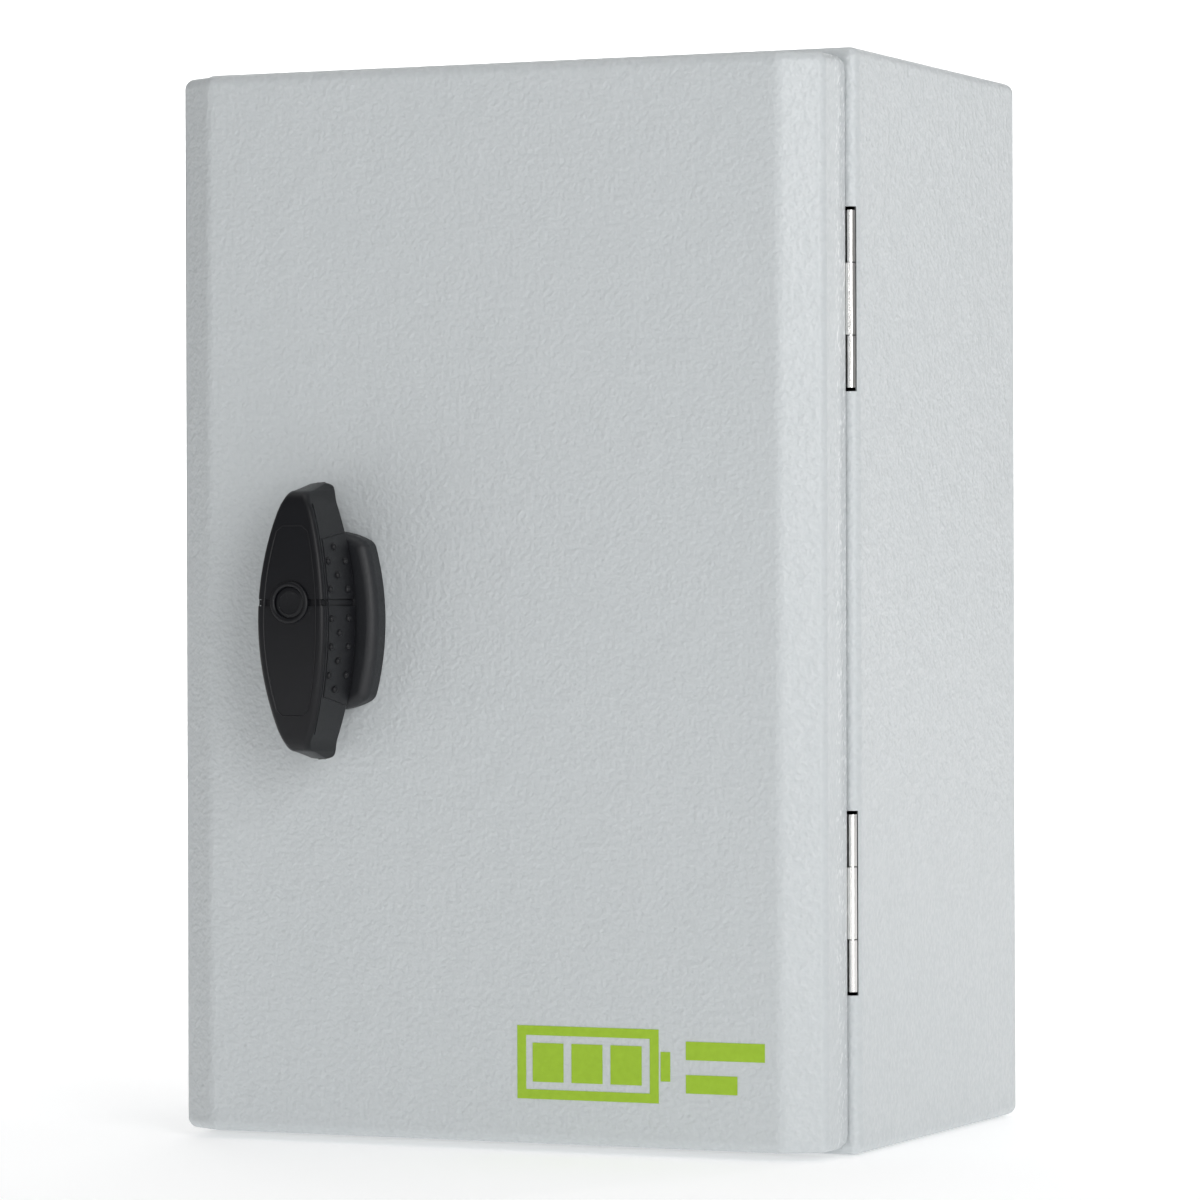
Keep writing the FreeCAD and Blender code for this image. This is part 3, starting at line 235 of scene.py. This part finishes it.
def chromed_zinc():
    """Die-cast zinc, polished and chrome plated, with faint polishing lines along the barrel."""
    material, tree, place = new_material("chromed_die_cast_zinc")
    along = add(tree, "Mapping", "Vector", {"Vector": place, "Scale": (1, 1, 0.08)})
    strokes = add(tree, "TexNoise", "Fac", {"Vector": along, "Scale": per_mm(0.5), "Detail": 3.0})
    colour = add(tree, "Mix", "Result", {"Factor": strokes, "A": linear("#dedddb"),
                                         "B": linear("#efeeec")}, data_type="RGBA")
    rough = add(tree, "MapRange", "Result", {"Value": strokes, "From Min": 0.3, "From Max": 0.7,
                                             "To Min": 0.12, "To Max": 0.24})
    normal = add(tree, "Bump", "Normal", {"Height": strokes, "Distance": 0.004 * MM})
    shader = add(tree, "BsdfPrincipled", "BSDF", {"Base Color": colour, "Roughness": rough,
                                                  "Normal": normal, "Metallic": 1.0})
    add(tree, "OutputMaterial", None, {"Surface": shader})
    return material


def zinc_plate(name, first, second, rough):
    """Electroplated zinc or nickel: a soft metal sheen with a slightly cloudy passivation."""
    material, tree, place = new_material(name)
    clouds = add(tree, "TexNoise", "Fac", {"Vector": place, "Scale": per_mm(3), "Detail": 3.0})
    fine = add(tree, "TexNoise", "Fac", {"Vector": place, "Scale": per_mm(0.4), "Detail": 3.0})
    patches = add(tree, "MapRange", "Result", {"Value": clouds, "From Min": 0.3, "From Max": 0.7})
    colour = add(tree, "Mix", "Result", {"Factor": patches, "A": linear(first),
                                         "B": linear(second)}, data_type="RGBA")
    dull = add(tree, "MapRange", "Result", {"Value": patches, "To Min": rough, "To Max": rough + 0.12})
    normal = add(tree, "Bump", "Normal", {"Height": fine, "Distance": 0.006 * MM})
    shader = add(tree, "BsdfPrincipled", "BSDF", {"Base Color": colour, "Roughness": dull,
                                                  "Normal": normal, "Metallic": 1.0})
    add(tree, "OutputMaterial", None, {"Surface": shader})
    return material


def hot_dip_sheet():
    """Hot-dip galvanised sheet, whose zinc froze in flat crystals several millimetres across."""
    material, tree, place = new_material("hot_dip_galvanised_sheet")
    crystals = add(tree, "TexVoronoi", "Color", {"Vector": place, "Scale": per_mm(7)})
    shade_of = add(tree, "SeparateColor", "Red", {"Color": crystals})
    frost = add(tree, "TexNoise", "Fac", {"Vector": place, "Scale": per_mm(1.5), "Detail": 3.0})
    colour = add(tree, "Mix", "Result", {"Factor": shade_of, "A": linear("#a9adb0"),
                                         "B": linear("#c6c9cb")}, data_type="RGBA")
    rough = add(tree, "MapRange", "Result", {"Value": shade_of, "To Min": 0.32, "To Max": 0.52})
    normal = add(tree, "Bump", "Normal", {"Height": frost, "Distance": 0.01 * MM})
    shader = add(tree, "BsdfPrincipled", "BSDF", {"Base Color": colour, "Roughness": rough,
                                                  "Normal": normal, "Metallic": 1.0})
    add(tree, "OutputMaterial", None, {"Surface": shader})
    return material


def foamed_seal():
    """Polyurethane foamed in place: closed skin, soft and matt, with shallow pores."""
    material, tree, place = new_material("polyurethane_foam_seal")
    pores = add(tree, "TexVoronoi", "Distance", {"Vector": place, "Scale": per_mm(0.9)})
    colour = add(tree, "Mix", "Result", {"Factor": pores, "A": linear("#26272a"),
                                         "B": linear("#303134")}, data_type="RGBA")
    normal = add(tree, "Bump", "Normal", {"Height": pores, "Distance": 0.08 * MM})
    shader = add(tree, "BsdfPrincipled", "BSDF", {"Base Color": colour, "Roughness": 0.85,
                                                  "Normal": normal})
    add(tree, "OutputMaterial", None, {"Surface": shader})
    return material


def moulded(name, first, second, rough, size=0.5, depth=0.01):
    """An injection-moulded plastic: even colour, fine spark-eroded grain."""
    material, tree, place = new_material(name)
    flow = add(tree, "TexNoise", "Fac", {"Vector": place, "Scale": per_mm(15), "Detail": 3.0})
    fine = add(tree, "TexNoise", "Fac", {"Vector": place, "Scale": per_mm(size), "Detail": 2.0})
    colour = add(tree, "Mix", "Result", {"Factor": flow, "A": linear(first), "B": linear(second)},
                 data_type="RGBA")
    dull = add(tree, "MapRange", "Result", {"Value": fine, "From Min": 0.3, "From Max": 0.7,
                                            "To Min": rough + 0.06, "To Max": rough - 0.06})
    normal = add(tree, "Bump", "Normal", {"Height": fine, "Distance": depth * MM})
    shader = add(tree, "BsdfPrincipled", "BSDF", {"Base Color": colour, "Roughness": dull,
                                                  "Normal": normal, "IOR": 1.5})
    add(tree, "OutputMaterial", None, {"Surface": shader})
    return material


def earth_wire():
    """Soft PVC in two colours: the green and yellow of an earth wire, in stripes along it."""
    material, tree, place = new_material("pvc_insulation_green_yellow")
    stripes = add(tree, "TexWave", "Fac", {"Vector": place, "Scale": per_mm(9), "Distortion": 0.0},
                  bands_direction="X")
    choice = add(tree, "MapRange", "Result", {"Value": stripes, "From Min": 0.45, "From Max": 0.55})
    fine = add(tree, "TexNoise", "Fac", {"Vector": place, "Scale": per_mm(0.3), "Detail": 2.0})
    colour = add(tree, "Mix", "Result", {"Factor": choice, "A": linear("#2f8a3a"),
                                         "B": linear("#d8c81e")}, data_type="RGBA")
    rough = add(tree, "MapRange", "Result", {"Value": fine, "To Min": 0.3, "To Max": 0.42})
    normal = add(tree, "Bump", "Normal", {"Height": fine, "Distance": 0.004 * MM})
    shader = add(tree, "BsdfPrincipled", "BSDF", {"Base Color": colour, "Roughness": rough,
                                                  "Normal": normal, "IOR": 1.5})
    add(tree, "OutputMaterial", None, {"Surface": shader})
    return material


def screen_print():
    """Two-part screen ink over the coat, a little glossier than it and with its pebbles showing."""
    material, tree, place = new_material("screen_print_ink_green")
    pebbles = add(tree, "TexNoise", "Fac", {"Vector": place, "Scale": per_mm(1.9), "Detail": 1.0})
    colour = add(tree, "Mix", "Result", {"Factor": pebbles, "A": linear("#96bb20"),
                                         "B": linear("#a5ca2e")}, data_type="RGBA")
    rough = add(tree, "MapRange", "Result", {"Value": pebbles, "To Min": 0.38, "To Max": 0.46})
    normal = add(tree, "Bump", "Normal", {"Height": pebbles, "Distance": 0.1 * MM})
    shader = add(tree, "BsdfPrincipled", "BSDF", {"Base Color": colour, "Roughness": rough,
                                                  "Normal": normal})
    add(tree, "OutputMaterial", None, {"Surface": shader})
    return material


def studio_paper(name, glow):
    """White background paper, or an opal table top that a lamp below makes glow a little."""
    material, tree, place = new_material(name)
    fibres = add(tree, "TexNoise", "Fac", {"Vector": place, "Scale": per_mm(300), "Detail": 3.0})
    colour = add(tree, "Mix", "Result", {"Factor": fibres, "A": linear("#f4f4f4"),
                                         "B": linear("#f7f7f7")}, data_type="RGBA")
    shader = add(tree, "BsdfPrincipled", "BSDF", {
        "Base Color": colour, "Roughness": 0.9, "Emission Color": (1, 1, 1, 1),
        "Emission Strength": glow})
    add(tree, "OutputMaterial", None, {"Surface": shader})
    return material


BACKDROP_PAPER = studio_paper("white_background_paper", 0.0)
LIT_TABLE = studio_paper("opal_acrylic_table", 0.36)
COAT = powder_coat()
BLACK_NYLON = moulded_black()
# The rosette is the same black nylon as the grip with a coarser grain. Its colour is painted lighter to
# stand for the light falling on it.
ROSETTE_NYLON_PAINTED_LIGHTER = moulded("glass_filled_nylon_coarse_painted_lighter", "#191a1e", "#1e2024", 0.5, 0.6, 0.03)
CHROME = chromed_zinc()
ZINC = zinc_plate("bright_zinc_plate", "#b9bcbe", "#cfd1d2", 0.28)
BRASS = zinc_plate("nickelled_brass", "#c8c3b4", "#d8d4c8", 0.24)
GALVANISED = hot_dip_sheet()
SEAL = foamed_seal()
CASE_PLASTIC = moulded("polyamide_light_grey", "#c9cbca", "#cfd1d0", 0.42)
DARK_PLASTIC = moulded("polyamide_dark_grey", "#3a3c3f", "#424447", 0.4)
TOGGLE_PLASTIC = moulded("polycarbonate_black", "#1a1b1d", "#212224", 0.35)
TERMINAL_GREY = moulded("polyamide_terminal_grey", "#8f9396", "#989c9f", 0.45)
TERMINAL_BLUE = moulded("polyamide_terminal_blue", "#2c5f9e", "#336aab", 0.45)
TERMINAL_GREEN = moulded("polyamide_terminal_green", "#2f7d3c", "#378845", 0.45)
DUCT_PLASTIC = moulded("rigid_pvc_grey", "#9a9da0", "#a3a6a9", 0.5)
PVC_BROWN = moulded("pvc_insulation_brown", "#5a3320", "#63392a", 0.35, 0.3, 0.004)
PVC_BLACK = moulded("pvc_insulation_black", "#161617", "#1d1d1e", 0.35, 0.3, 0.004)
PVC_GREY = moulded("pvc_insulation_grey", "#7f8386", "#888c8f", 0.35, 0.3, 0.004)
PVC_BLUE = moulded("pvc_insulation_blue", "#2356a0", "#2a60ad", 0.35, 0.3, 0.004)
PVC_GREEN = earth_wire()
DIAL_PLASTIC = moulded("polycarbonate_blue_grey", "#4a6b86", "#52738e", 0.35)
INK = screen_print()

FINISHES = {
    COAT: ("enclosure_body", "door_panel"),
    GALVANISED: ("mounting_plate", "gland_plate"),
    CHROME: ("hinge_upper_body_half", "hinge_lower_body_half", "hinge_upper_door_half",
             "hinge_lower_door_half", "hinge_pins"),
    ZINC: ("gland_studs", "gland_nuts", "plate_studs", "plate_nuts", "rail_screws", "din_rail_upper",
           "din_rail_middle", "din_rail_lower", "earth_stud", "earth_nut", "hinge_body_screws",
           "hinge_door_studs", "hinge_door_nuts", "door_earth_stud", "door_earth_nut", "lock_bush",
           "lock_nut", "latch_cam", "cam_bolt", "handle_spindle", "device_screws"),
    BRASS: ("terminal_screws", "earth_lug"),
    SEAL: ("door_gasket", "gland_gasket"),
    # painted lighter copy of the black nylon, for the light on the rosette
    ROSETTE_NYLON_PAINTED_LIGHTER: ("handle_base",),
    BLACK_NYLON: ("handle_grip", "handle_lock_ring", "handle_lock_cap"),
    CASE_PLASTIC: ("breaker_left", "breaker_right", "relay_case"),
    DARK_PLASTIC: ("contactor_left", "contactor_right"),
    TOGGLE_PLASTIC: ("breaker_left_toggle", "breaker_right_toggle"),
    DIAL_PLASTIC: ("relay_dial",),
    TERMINAL_GREY: ("terminals_phase", "terminal_end_stops"),
    TERMINAL_BLUE: ("terminals_neutral",),
    TERMINAL_GREEN: ("terminals_earth",),
    DUCT_PLASTIC: ("wiring_duct", "wiring_duct_cover"),
    PVC_BROWN: ("wires_brown",),
    PVC_BLACK: ("wires_black",),
    PVC_GREY: ("wires_grey",),
    PVC_BLUE: ("wires_blue",),
    PVC_GREEN: ("wires_earth",),
    INK: ("door_symbol",),
}


BODY_OF = {name: body for body, names in frame["record"]["behaviour"]["bodies"].items()
           for name in names}
ROUND_FROM = math.radians(32)


# ---------------------------------------------------------------- modelling tools

def only(piece):
    """Makes one piece the selected and active one."""
    bpy.ops.object.select_all(action="DESELECT")
    piece.select_set(True)
    bpy.context.view_layer.objects.active = piece


def edit(piece, select="NOTHING"):
    """Opens a piece in edit mode with all or none of it selected, and returns its mesh."""
    only(piece)
    bpy.ops.object.mode_set(mode="EDIT")
    bpy.ops.mesh.select_all(action="SELECT" if select == "ALL" else "DESELECT")
    return bmesh.from_edit_mesh(piece.data)


def done():
    bpy.ops.object.mode_set(mode="OBJECT")


def pick(piece, kind, wanted):
    """Selects the faces or edges of the open piece that pass a test, and nothing else."""
    mesh = bmesh.from_edit_mesh(piece.data)
    bpy.ops.mesh.select_mode(type=kind)
    bpy.ops.mesh.select_all(action="DESELECT")
    for part in (mesh.faces if kind == "FACE" else mesh.edges):
        part.select = wanted(part)
    mesh.select_flush_mode()
    bmesh.update_edit_mesh(piece.data)


def applied(piece, kind, **settings):
    """Adds a modifier with its settings and applies it."""
    only(piece)
    modifier = piece.modifiers.new(kind.lower(), kind)
    for name, value in settings.items():
        setattr(modifier, name, value)
    bpy.ops.object.modifier_apply(modifier=modifier.name)


def shade(piece, angle=ROUND_FROM):
    """Smooth bends and flat sheets: each bend's edge takes the normal of the flat beside it."""
    only(piece)
    bpy.ops.object.shade_smooth_by_angle(angle=angle)
    applied(piece, "WEIGHTED_NORMAL", keep_sharp=True, weight=80)


def joined(name, pieces):
    """Several pieces made one."""
    bpy.ops.object.select_all(action="DESELECT")
    for piece in pieces:
        piece.select_set(True)
    bpy.context.view_layer.objects.active = pieces[0]
    bpy.ops.object.join()
    pieces[0].name = name
    return pieces[0]


def settle(piece):
    """Puts a piece's place, turn and scale into its mesh."""
    only(piece)
    bpy.ops.object.transform_apply(location=True, rotation=True, scale=True)


def block(name, low, high):
    """A box between two corners in millimetres, ready to be shaped."""
    low, high = Vector(low) * MM, Vector(high) * MM
    bpy.ops.object.select_all(action="DESELECT")
    bpy.ops.mesh.primitive_cube_add(size=1, location=(low + high) / 2)
    piece = bpy.context.object
    piece.scale = high - low
    piece.name = name
    settle(piece)
    return piece


def bead(name, points, width, closed=False):
    """A raised hairline of round section along a run of points in millimetres."""
    curve = bpy.data.curves.new(name, "CURVE")
    curve.dimensions = "3D"
    curve.bevel_depth = width / 2 * MM
    curve.bevel_resolution = 1
    line = curve.splines.new("POLY")
    line.points.add(len(points) - 1)
    for spot, point in zip(line.points, points):
        spot.co = (*(Vector(point) * MM), 1)
    line.use_cyclic_u = closed
    piece = bpy.data.objects.new(name, curve)
    bpy.context.scene.collection.objects.link(piece)
    only(piece)
    bpy.ops.object.convert(target="MESH")
    return bpy.context.object


def put_in(piece, material, slot, *nodes):
    """Gives a finished piece its material and puts it in place of CAD nodes, on their body."""
    paint(piece, material)
    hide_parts(*nodes)
    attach(piece, BODY_OF[nodes[0]])
    return piece


def smoothed(name):
    """A copy of a CAD node whose triangles are joined, so that its bends shade as bends."""
    source = frame["nodes"][name]
    piece = bpy.data.objects.new(name + "_finish", source.data.copy())
    bpy.context.scene.collection.objects.link(piece)
    edit(piece, "ALL")
    bpy.ops.mesh.remove_doubles(threshold=0.002 * MM)
    bpy.ops.mesh.select_all(action="SELECT")
    bpy.ops.mesh.dissolve_limited(angle_limit=math.radians(0.5))
    done()
    shade(piece)
    return piece


# ---------------------------------------------------------------- the handle

AXIS_X = -46.5
GRIP_MIDDLE = -5.1
GRIP_HALF_HEIGHT = 38.1
GRIP_HALF_WIDTH = 10.28
SIDE_BOW = 97.0
FRONT_BOW = 188.0
GRIP_FRONT = -178.2
GRIP_BACK = -158.2
ROUND_START = 31.2
TIP_ROUND = 4.6
TIP_FRONT = -159.7
SIDE_FLARE_FROM, SIDE_FLARE = 33.0, 0.26
FRONT_DRAW_FROM, FRONT_DRAW = 29.0, 0.03
SLICE = 2.3
LOCK_RADIUS = 5.8
GROOVE = 0.95
GROOVE_DEPTH = 0.7
SIDE_EDGE, BACK_EDGE = 1.5, 0.6


def grip_width(z):
    """Half the grip's width at a height: sides that bow, then flare a little again near the tips."""
    away = abs(z - GRIP_MIDDLE)
    bow = SIDE_BOW - math.sqrt(SIDE_BOW ** 2 - away ** 2)
    return GRIP_HALF_WIDTH - bow + max(0.0, away - SIDE_FLARE_FROM) * SIDE_FLARE


def grip_face(z):
    """Where the grip's bowed front is at a height."""
    away = abs(z - GRIP_MIDDLE)
    return GRIP_FRONT + FRONT_BOW - math.sqrt(FRONT_BOW ** 2 - away ** 2)


def grip_front_at(z):
    """The front, rounded over near each tip into a slope that runs back."""
    past = abs(z - GRIP_MIDDLE) - ROUND_START
    if past <= 0:
        return grip_face(z)
    start = grip_face(GRIP_MIDDLE + ROUND_START)
    if past <= TIP_ROUND:
        return start + TIP_ROUND - math.sqrt(TIP_ROUND ** 2 - past ** 2)
    share = (past - TIP_ROUND) / (GRIP_HALF_HEIGHT - ROUND_START - TIP_ROUND)
    return start + TIP_ROUND + (TIP_FRONT - start - TIP_ROUND) * share


def grip_body():
    """The wing: a bar cut into slices up its height, each slice drawn to the bowed outline."""
    piece = block("grip", (AXIS_X - 10, GRIP_FRONT, GRIP_MIDDLE - GRIP_HALF_HEIGHT),
                  (AXIS_X + 10, GRIP_BACK, GRIP_MIDDLE + GRIP_HALF_HEIGHT))
    heights = [GRIP_MIDDLE + step * SLICE for step in range(-13, 14)]
    heights = [z for z in heights if abs(z) > 1.6] + [-GROOVE, GROOVE]
    for turn in range(0, 91, 15):
        away = ROUND_START + TIP_ROUND * math.sin(math.radians(turn))
        heights += [GRIP_MIDDLE - away, GRIP_MIDDLE + away]
    for z in heights:
        edit(piece, "ALL")
        bpy.ops.mesh.bisect(plane_co=(0, 0, z * MM), plane_no=(0, 0, 1))
        done()
    mesh = edit(piece)
    for corner in mesh.verts:
        z = corner.co.z / MM
        side = 1 if corner.co.x / MM > AXIS_X else -1
        width = grip_width(z)
        if corner.co.y / MM < (GRIP_FRONT + GRIP_BACK) / 2:
            width -= max(0.0, abs(z - GRIP_MIDDLE) - FRONT_DRAW_FROM) ** 2 * FRONT_DRAW
            corner.co.y = grip_front_at(z) * MM
        corner.co.x = (AXIS_X + side * width) * MM
    bmesh.update_edit_mesh(piece.data)
    middle = (GRIP_FRONT + GRIP_BACK) / 2

    def at_back(edge):
        return min(corner.co.y for corner in edge.verts) / MM > GRIP_BACK - 0.01

    def is_sharp(edge):
        return len(edge.link_faces) == 2 and edge.calc_face_angle(0) > math.radians(30)

    pick(piece, "EDGE", lambda edge: is_sharp(edge) and not at_back(edge))
    bpy.ops.mesh.bevel(offset=SIDE_EDGE * MM, segments=5, profile=0.5)
    pick(piece, "EDGE", lambda edge: is_sharp(edge) and at_back(edge))
    bpy.ops.mesh.bevel(offset=BACK_EDGE * MM, segments=3, profile=0.5)
    pick(piece, "FACE", lambda face: abs(face.calc_center_median().z / MM) < GROOVE
         and face.normal.y < 0.7)
    bpy.ops.mesh.extrude_region_shrink_fatten(TRANSFORM_OT_shrink_fatten={"value": -GROOVE_DEPTH * MM})
    done()
    return piece


def on_front(x, z, lift=0.0):
    return (AXIS_X + x, grip_face(z) - lift, z)


def on_side(side, depth, z, lift=0.0):
    """A point on the grip's side, so many millimetres behind its front."""
    return (AXIS_X + side * (grip_width(z) + lift), grip_face(z) + depth, z)


def between(first, last, count):
    return [first + (last - first) * step / (count - 1) for step in range(count)]


def panel_lines():
    """The fine moulded lines: a panel's outline on the front, and a seamed pad on each side."""
    rim = 2.3
    left = [on_front(rim - grip_width(z), z) for z in between(-29.5, 19.5, 18)]
    right = [on_front(grip_width(z) - rim, z) for z in between(19.5, -29.5, 18)]
    top = [on_front(x, 21.0) for x in between(1.4 - grip_width(21) + rim, grip_width(21) - rim - 1.4, 5)]
    low = [on_front(x, -31.0) for x in between(grip_width(31) - rim + 1.2, rim - grip_width(31) - 1.2, 5)]
    beads = [bead("front_line", left + top + right + low, 0.4, closed=True)]
    for side in (-1, 1):
        near = [on_side(side, 3.2, z) for z in between(-25.8, 17.3, 16)]
        upper = [on_side(side, depth, 17.3 + (depth - 3.2) * 0.14) for depth in between(3.2, 17.2, 4)]
        lower = [on_side(side, depth, -25.8 - (depth - 3.2) * 0.18) for depth in between(17.2, 3.2, 4)]
        beads.append(bead("side_line", lower + near + upper, 0.42))
        beads.append(bead("step_line", [on_side(side, 1.9, z) for z in between(-36, 27, 20)], 0.3))
    return beads


def pimple(side, depth, z):
    """One low dome of the grip pattern: a ball cut through its middle and sunk in the side."""
    bpy.ops.object.select_all(action="DESELECT")
    spot = Vector(on_side(side, depth, z, -0.12)) * MM
    bpy.ops.mesh.primitive_uv_sphere_add(segments=16, ring_count=10, radius=1.05 * MM, location=spot)
    piece = bpy.context.object
    edit(piece, "ALL")
    bpy.ops.mesh.bisect(plane_co=spot, plane_no=(side, 0, 0), clear_inner=True,
                        use_fill=True)
    done()
    settle(piece)
    return piece


UPPER_PIMPLES = ((9.6, 15.2), (5.0, 11.3), (15.2, 11.3), (9.9, 7.5), (5.0, 3.6), (15.2, 3.6))
LOWER_PIMPLES = ((5.0, -4.4), (15.2, -4.4), (9.9, -8.3), (5.0, -12.1), (15.2, -12.1), (9.6, -16.0),
                 (5.0, -19.9), (15.2, -19.9), (9.4, -23.8))


def turned(name, outline, centre, steps=64):
    """A ring or disc turned round the front-to-back axis: outline is (radius, y) in millimetres."""
    mesh = bpy.data.meshes.new(name)
    centre = Vector(centre) * MM
    spots = [centre + Vector((radius * MM, depth * MM, 0)) for radius, depth in outline]
    mesh.from_pydata(spots, [(n, n + 1) for n in range(len(spots) - 1)], [])
    piece = bpy.data.objects.new(name, mesh)
    bpy.context.scene.collection.objects.link(piece)
    edit(piece, "ALL")
    bpy.ops.mesh.spin(steps=steps, angle=2 * math.pi, center=centre, axis=(0, 1, 0))
    bpy.ops.mesh.select_all(action="SELECT")
    bpy.ops.mesh.remove_doubles(threshold=0.001 * MM)
    bpy.ops.mesh.select_all(action="SELECT")
    bpy.ops.mesh.normals_make_consistent(inside=False)
    done()
    return piece


def half_ring(outer, inner, low, high, rise, steps=8):
    """The section of a raised rim with a round top."""
    middle, reach = (outer + inner) / 2, (outer - inner) / 2
    arc = [(middle + reach * math.cos(turn), low - (rise * math.sin(turn)))
           for turn in between(0, math.pi, steps)]
    return [(outer, high)] + arc + [(inner, high), (outer, high)]


def handle():
    pieces = [grip_body()] + panel_lines()
    for side in (-1, 1):
        pieces += [pimple(side, depth, z) for depth, z in UPPER_PIMPLES + LOWER_PIMPLES]
        reach = grip_width(0) - 0.35
        sides = sorted((AXIS_X + side * (reach - 2), AXIS_X + side * reach))
        rib = block("rib", (sides[0], GRIP_FRONT + 0.9, -0.75), (sides[1], GRIP_BACK - 0.8, 0.75))
        edit(rib, "ALL")
        bpy.ops.mesh.bevel(offset=0.2 * MM, segments=2)
        done()
        pieces.append(rib)
    grip = joined("handle_grip_finish", pieces)
    shade(grip)
    put_in(grip, BLACK_NYLON, "black_handle_plastic", "handle_grip")
    seat = (AXIS_X, GRIP_FRONT, 0)
    ring = turned("handle_lock_ring_finish", half_ring(LOCK_RADIUS, 4.3, -0.25, 2.2, 0.62), seat)
    shade(ring)
    put_in(ring, BLACK_NYLON, "black_handle_plastic", "handle_lock_ring")
    cap = turned("handle_lock_cap_finish", [(0, 1.5), (4.35, 1.5), (4.2, -0.05), (3.9, -0.2),
                                            (3.2, -0.26), (3.1, -0.1), (2.9, -0.08), (0, -0.12)], seat)
    shade(cap)
    put_in(cap, BLACK_NYLON, "black_handle_plastic", "handle_lock_cap")


# ---------------------------------------------------------------- all the nodes

REMADE = {"handle_grip", "handle_lock_ring", "handle_lock_cap"}


SLOT_OF = {item["node"]: item["material_slot"] for item in frame["record"]["subparts"]}


def finish_the_nodes():
    for material, names in FINISHES.items():
        for name in names:
            paint(frame["nodes"][name], material)
            if name not in REMADE:
                put_in(smoothed(name), material, SLOT_OF[name], name)


make_camera()
light_the_studio()
make_stage()
finish_the_nodes()
handle()
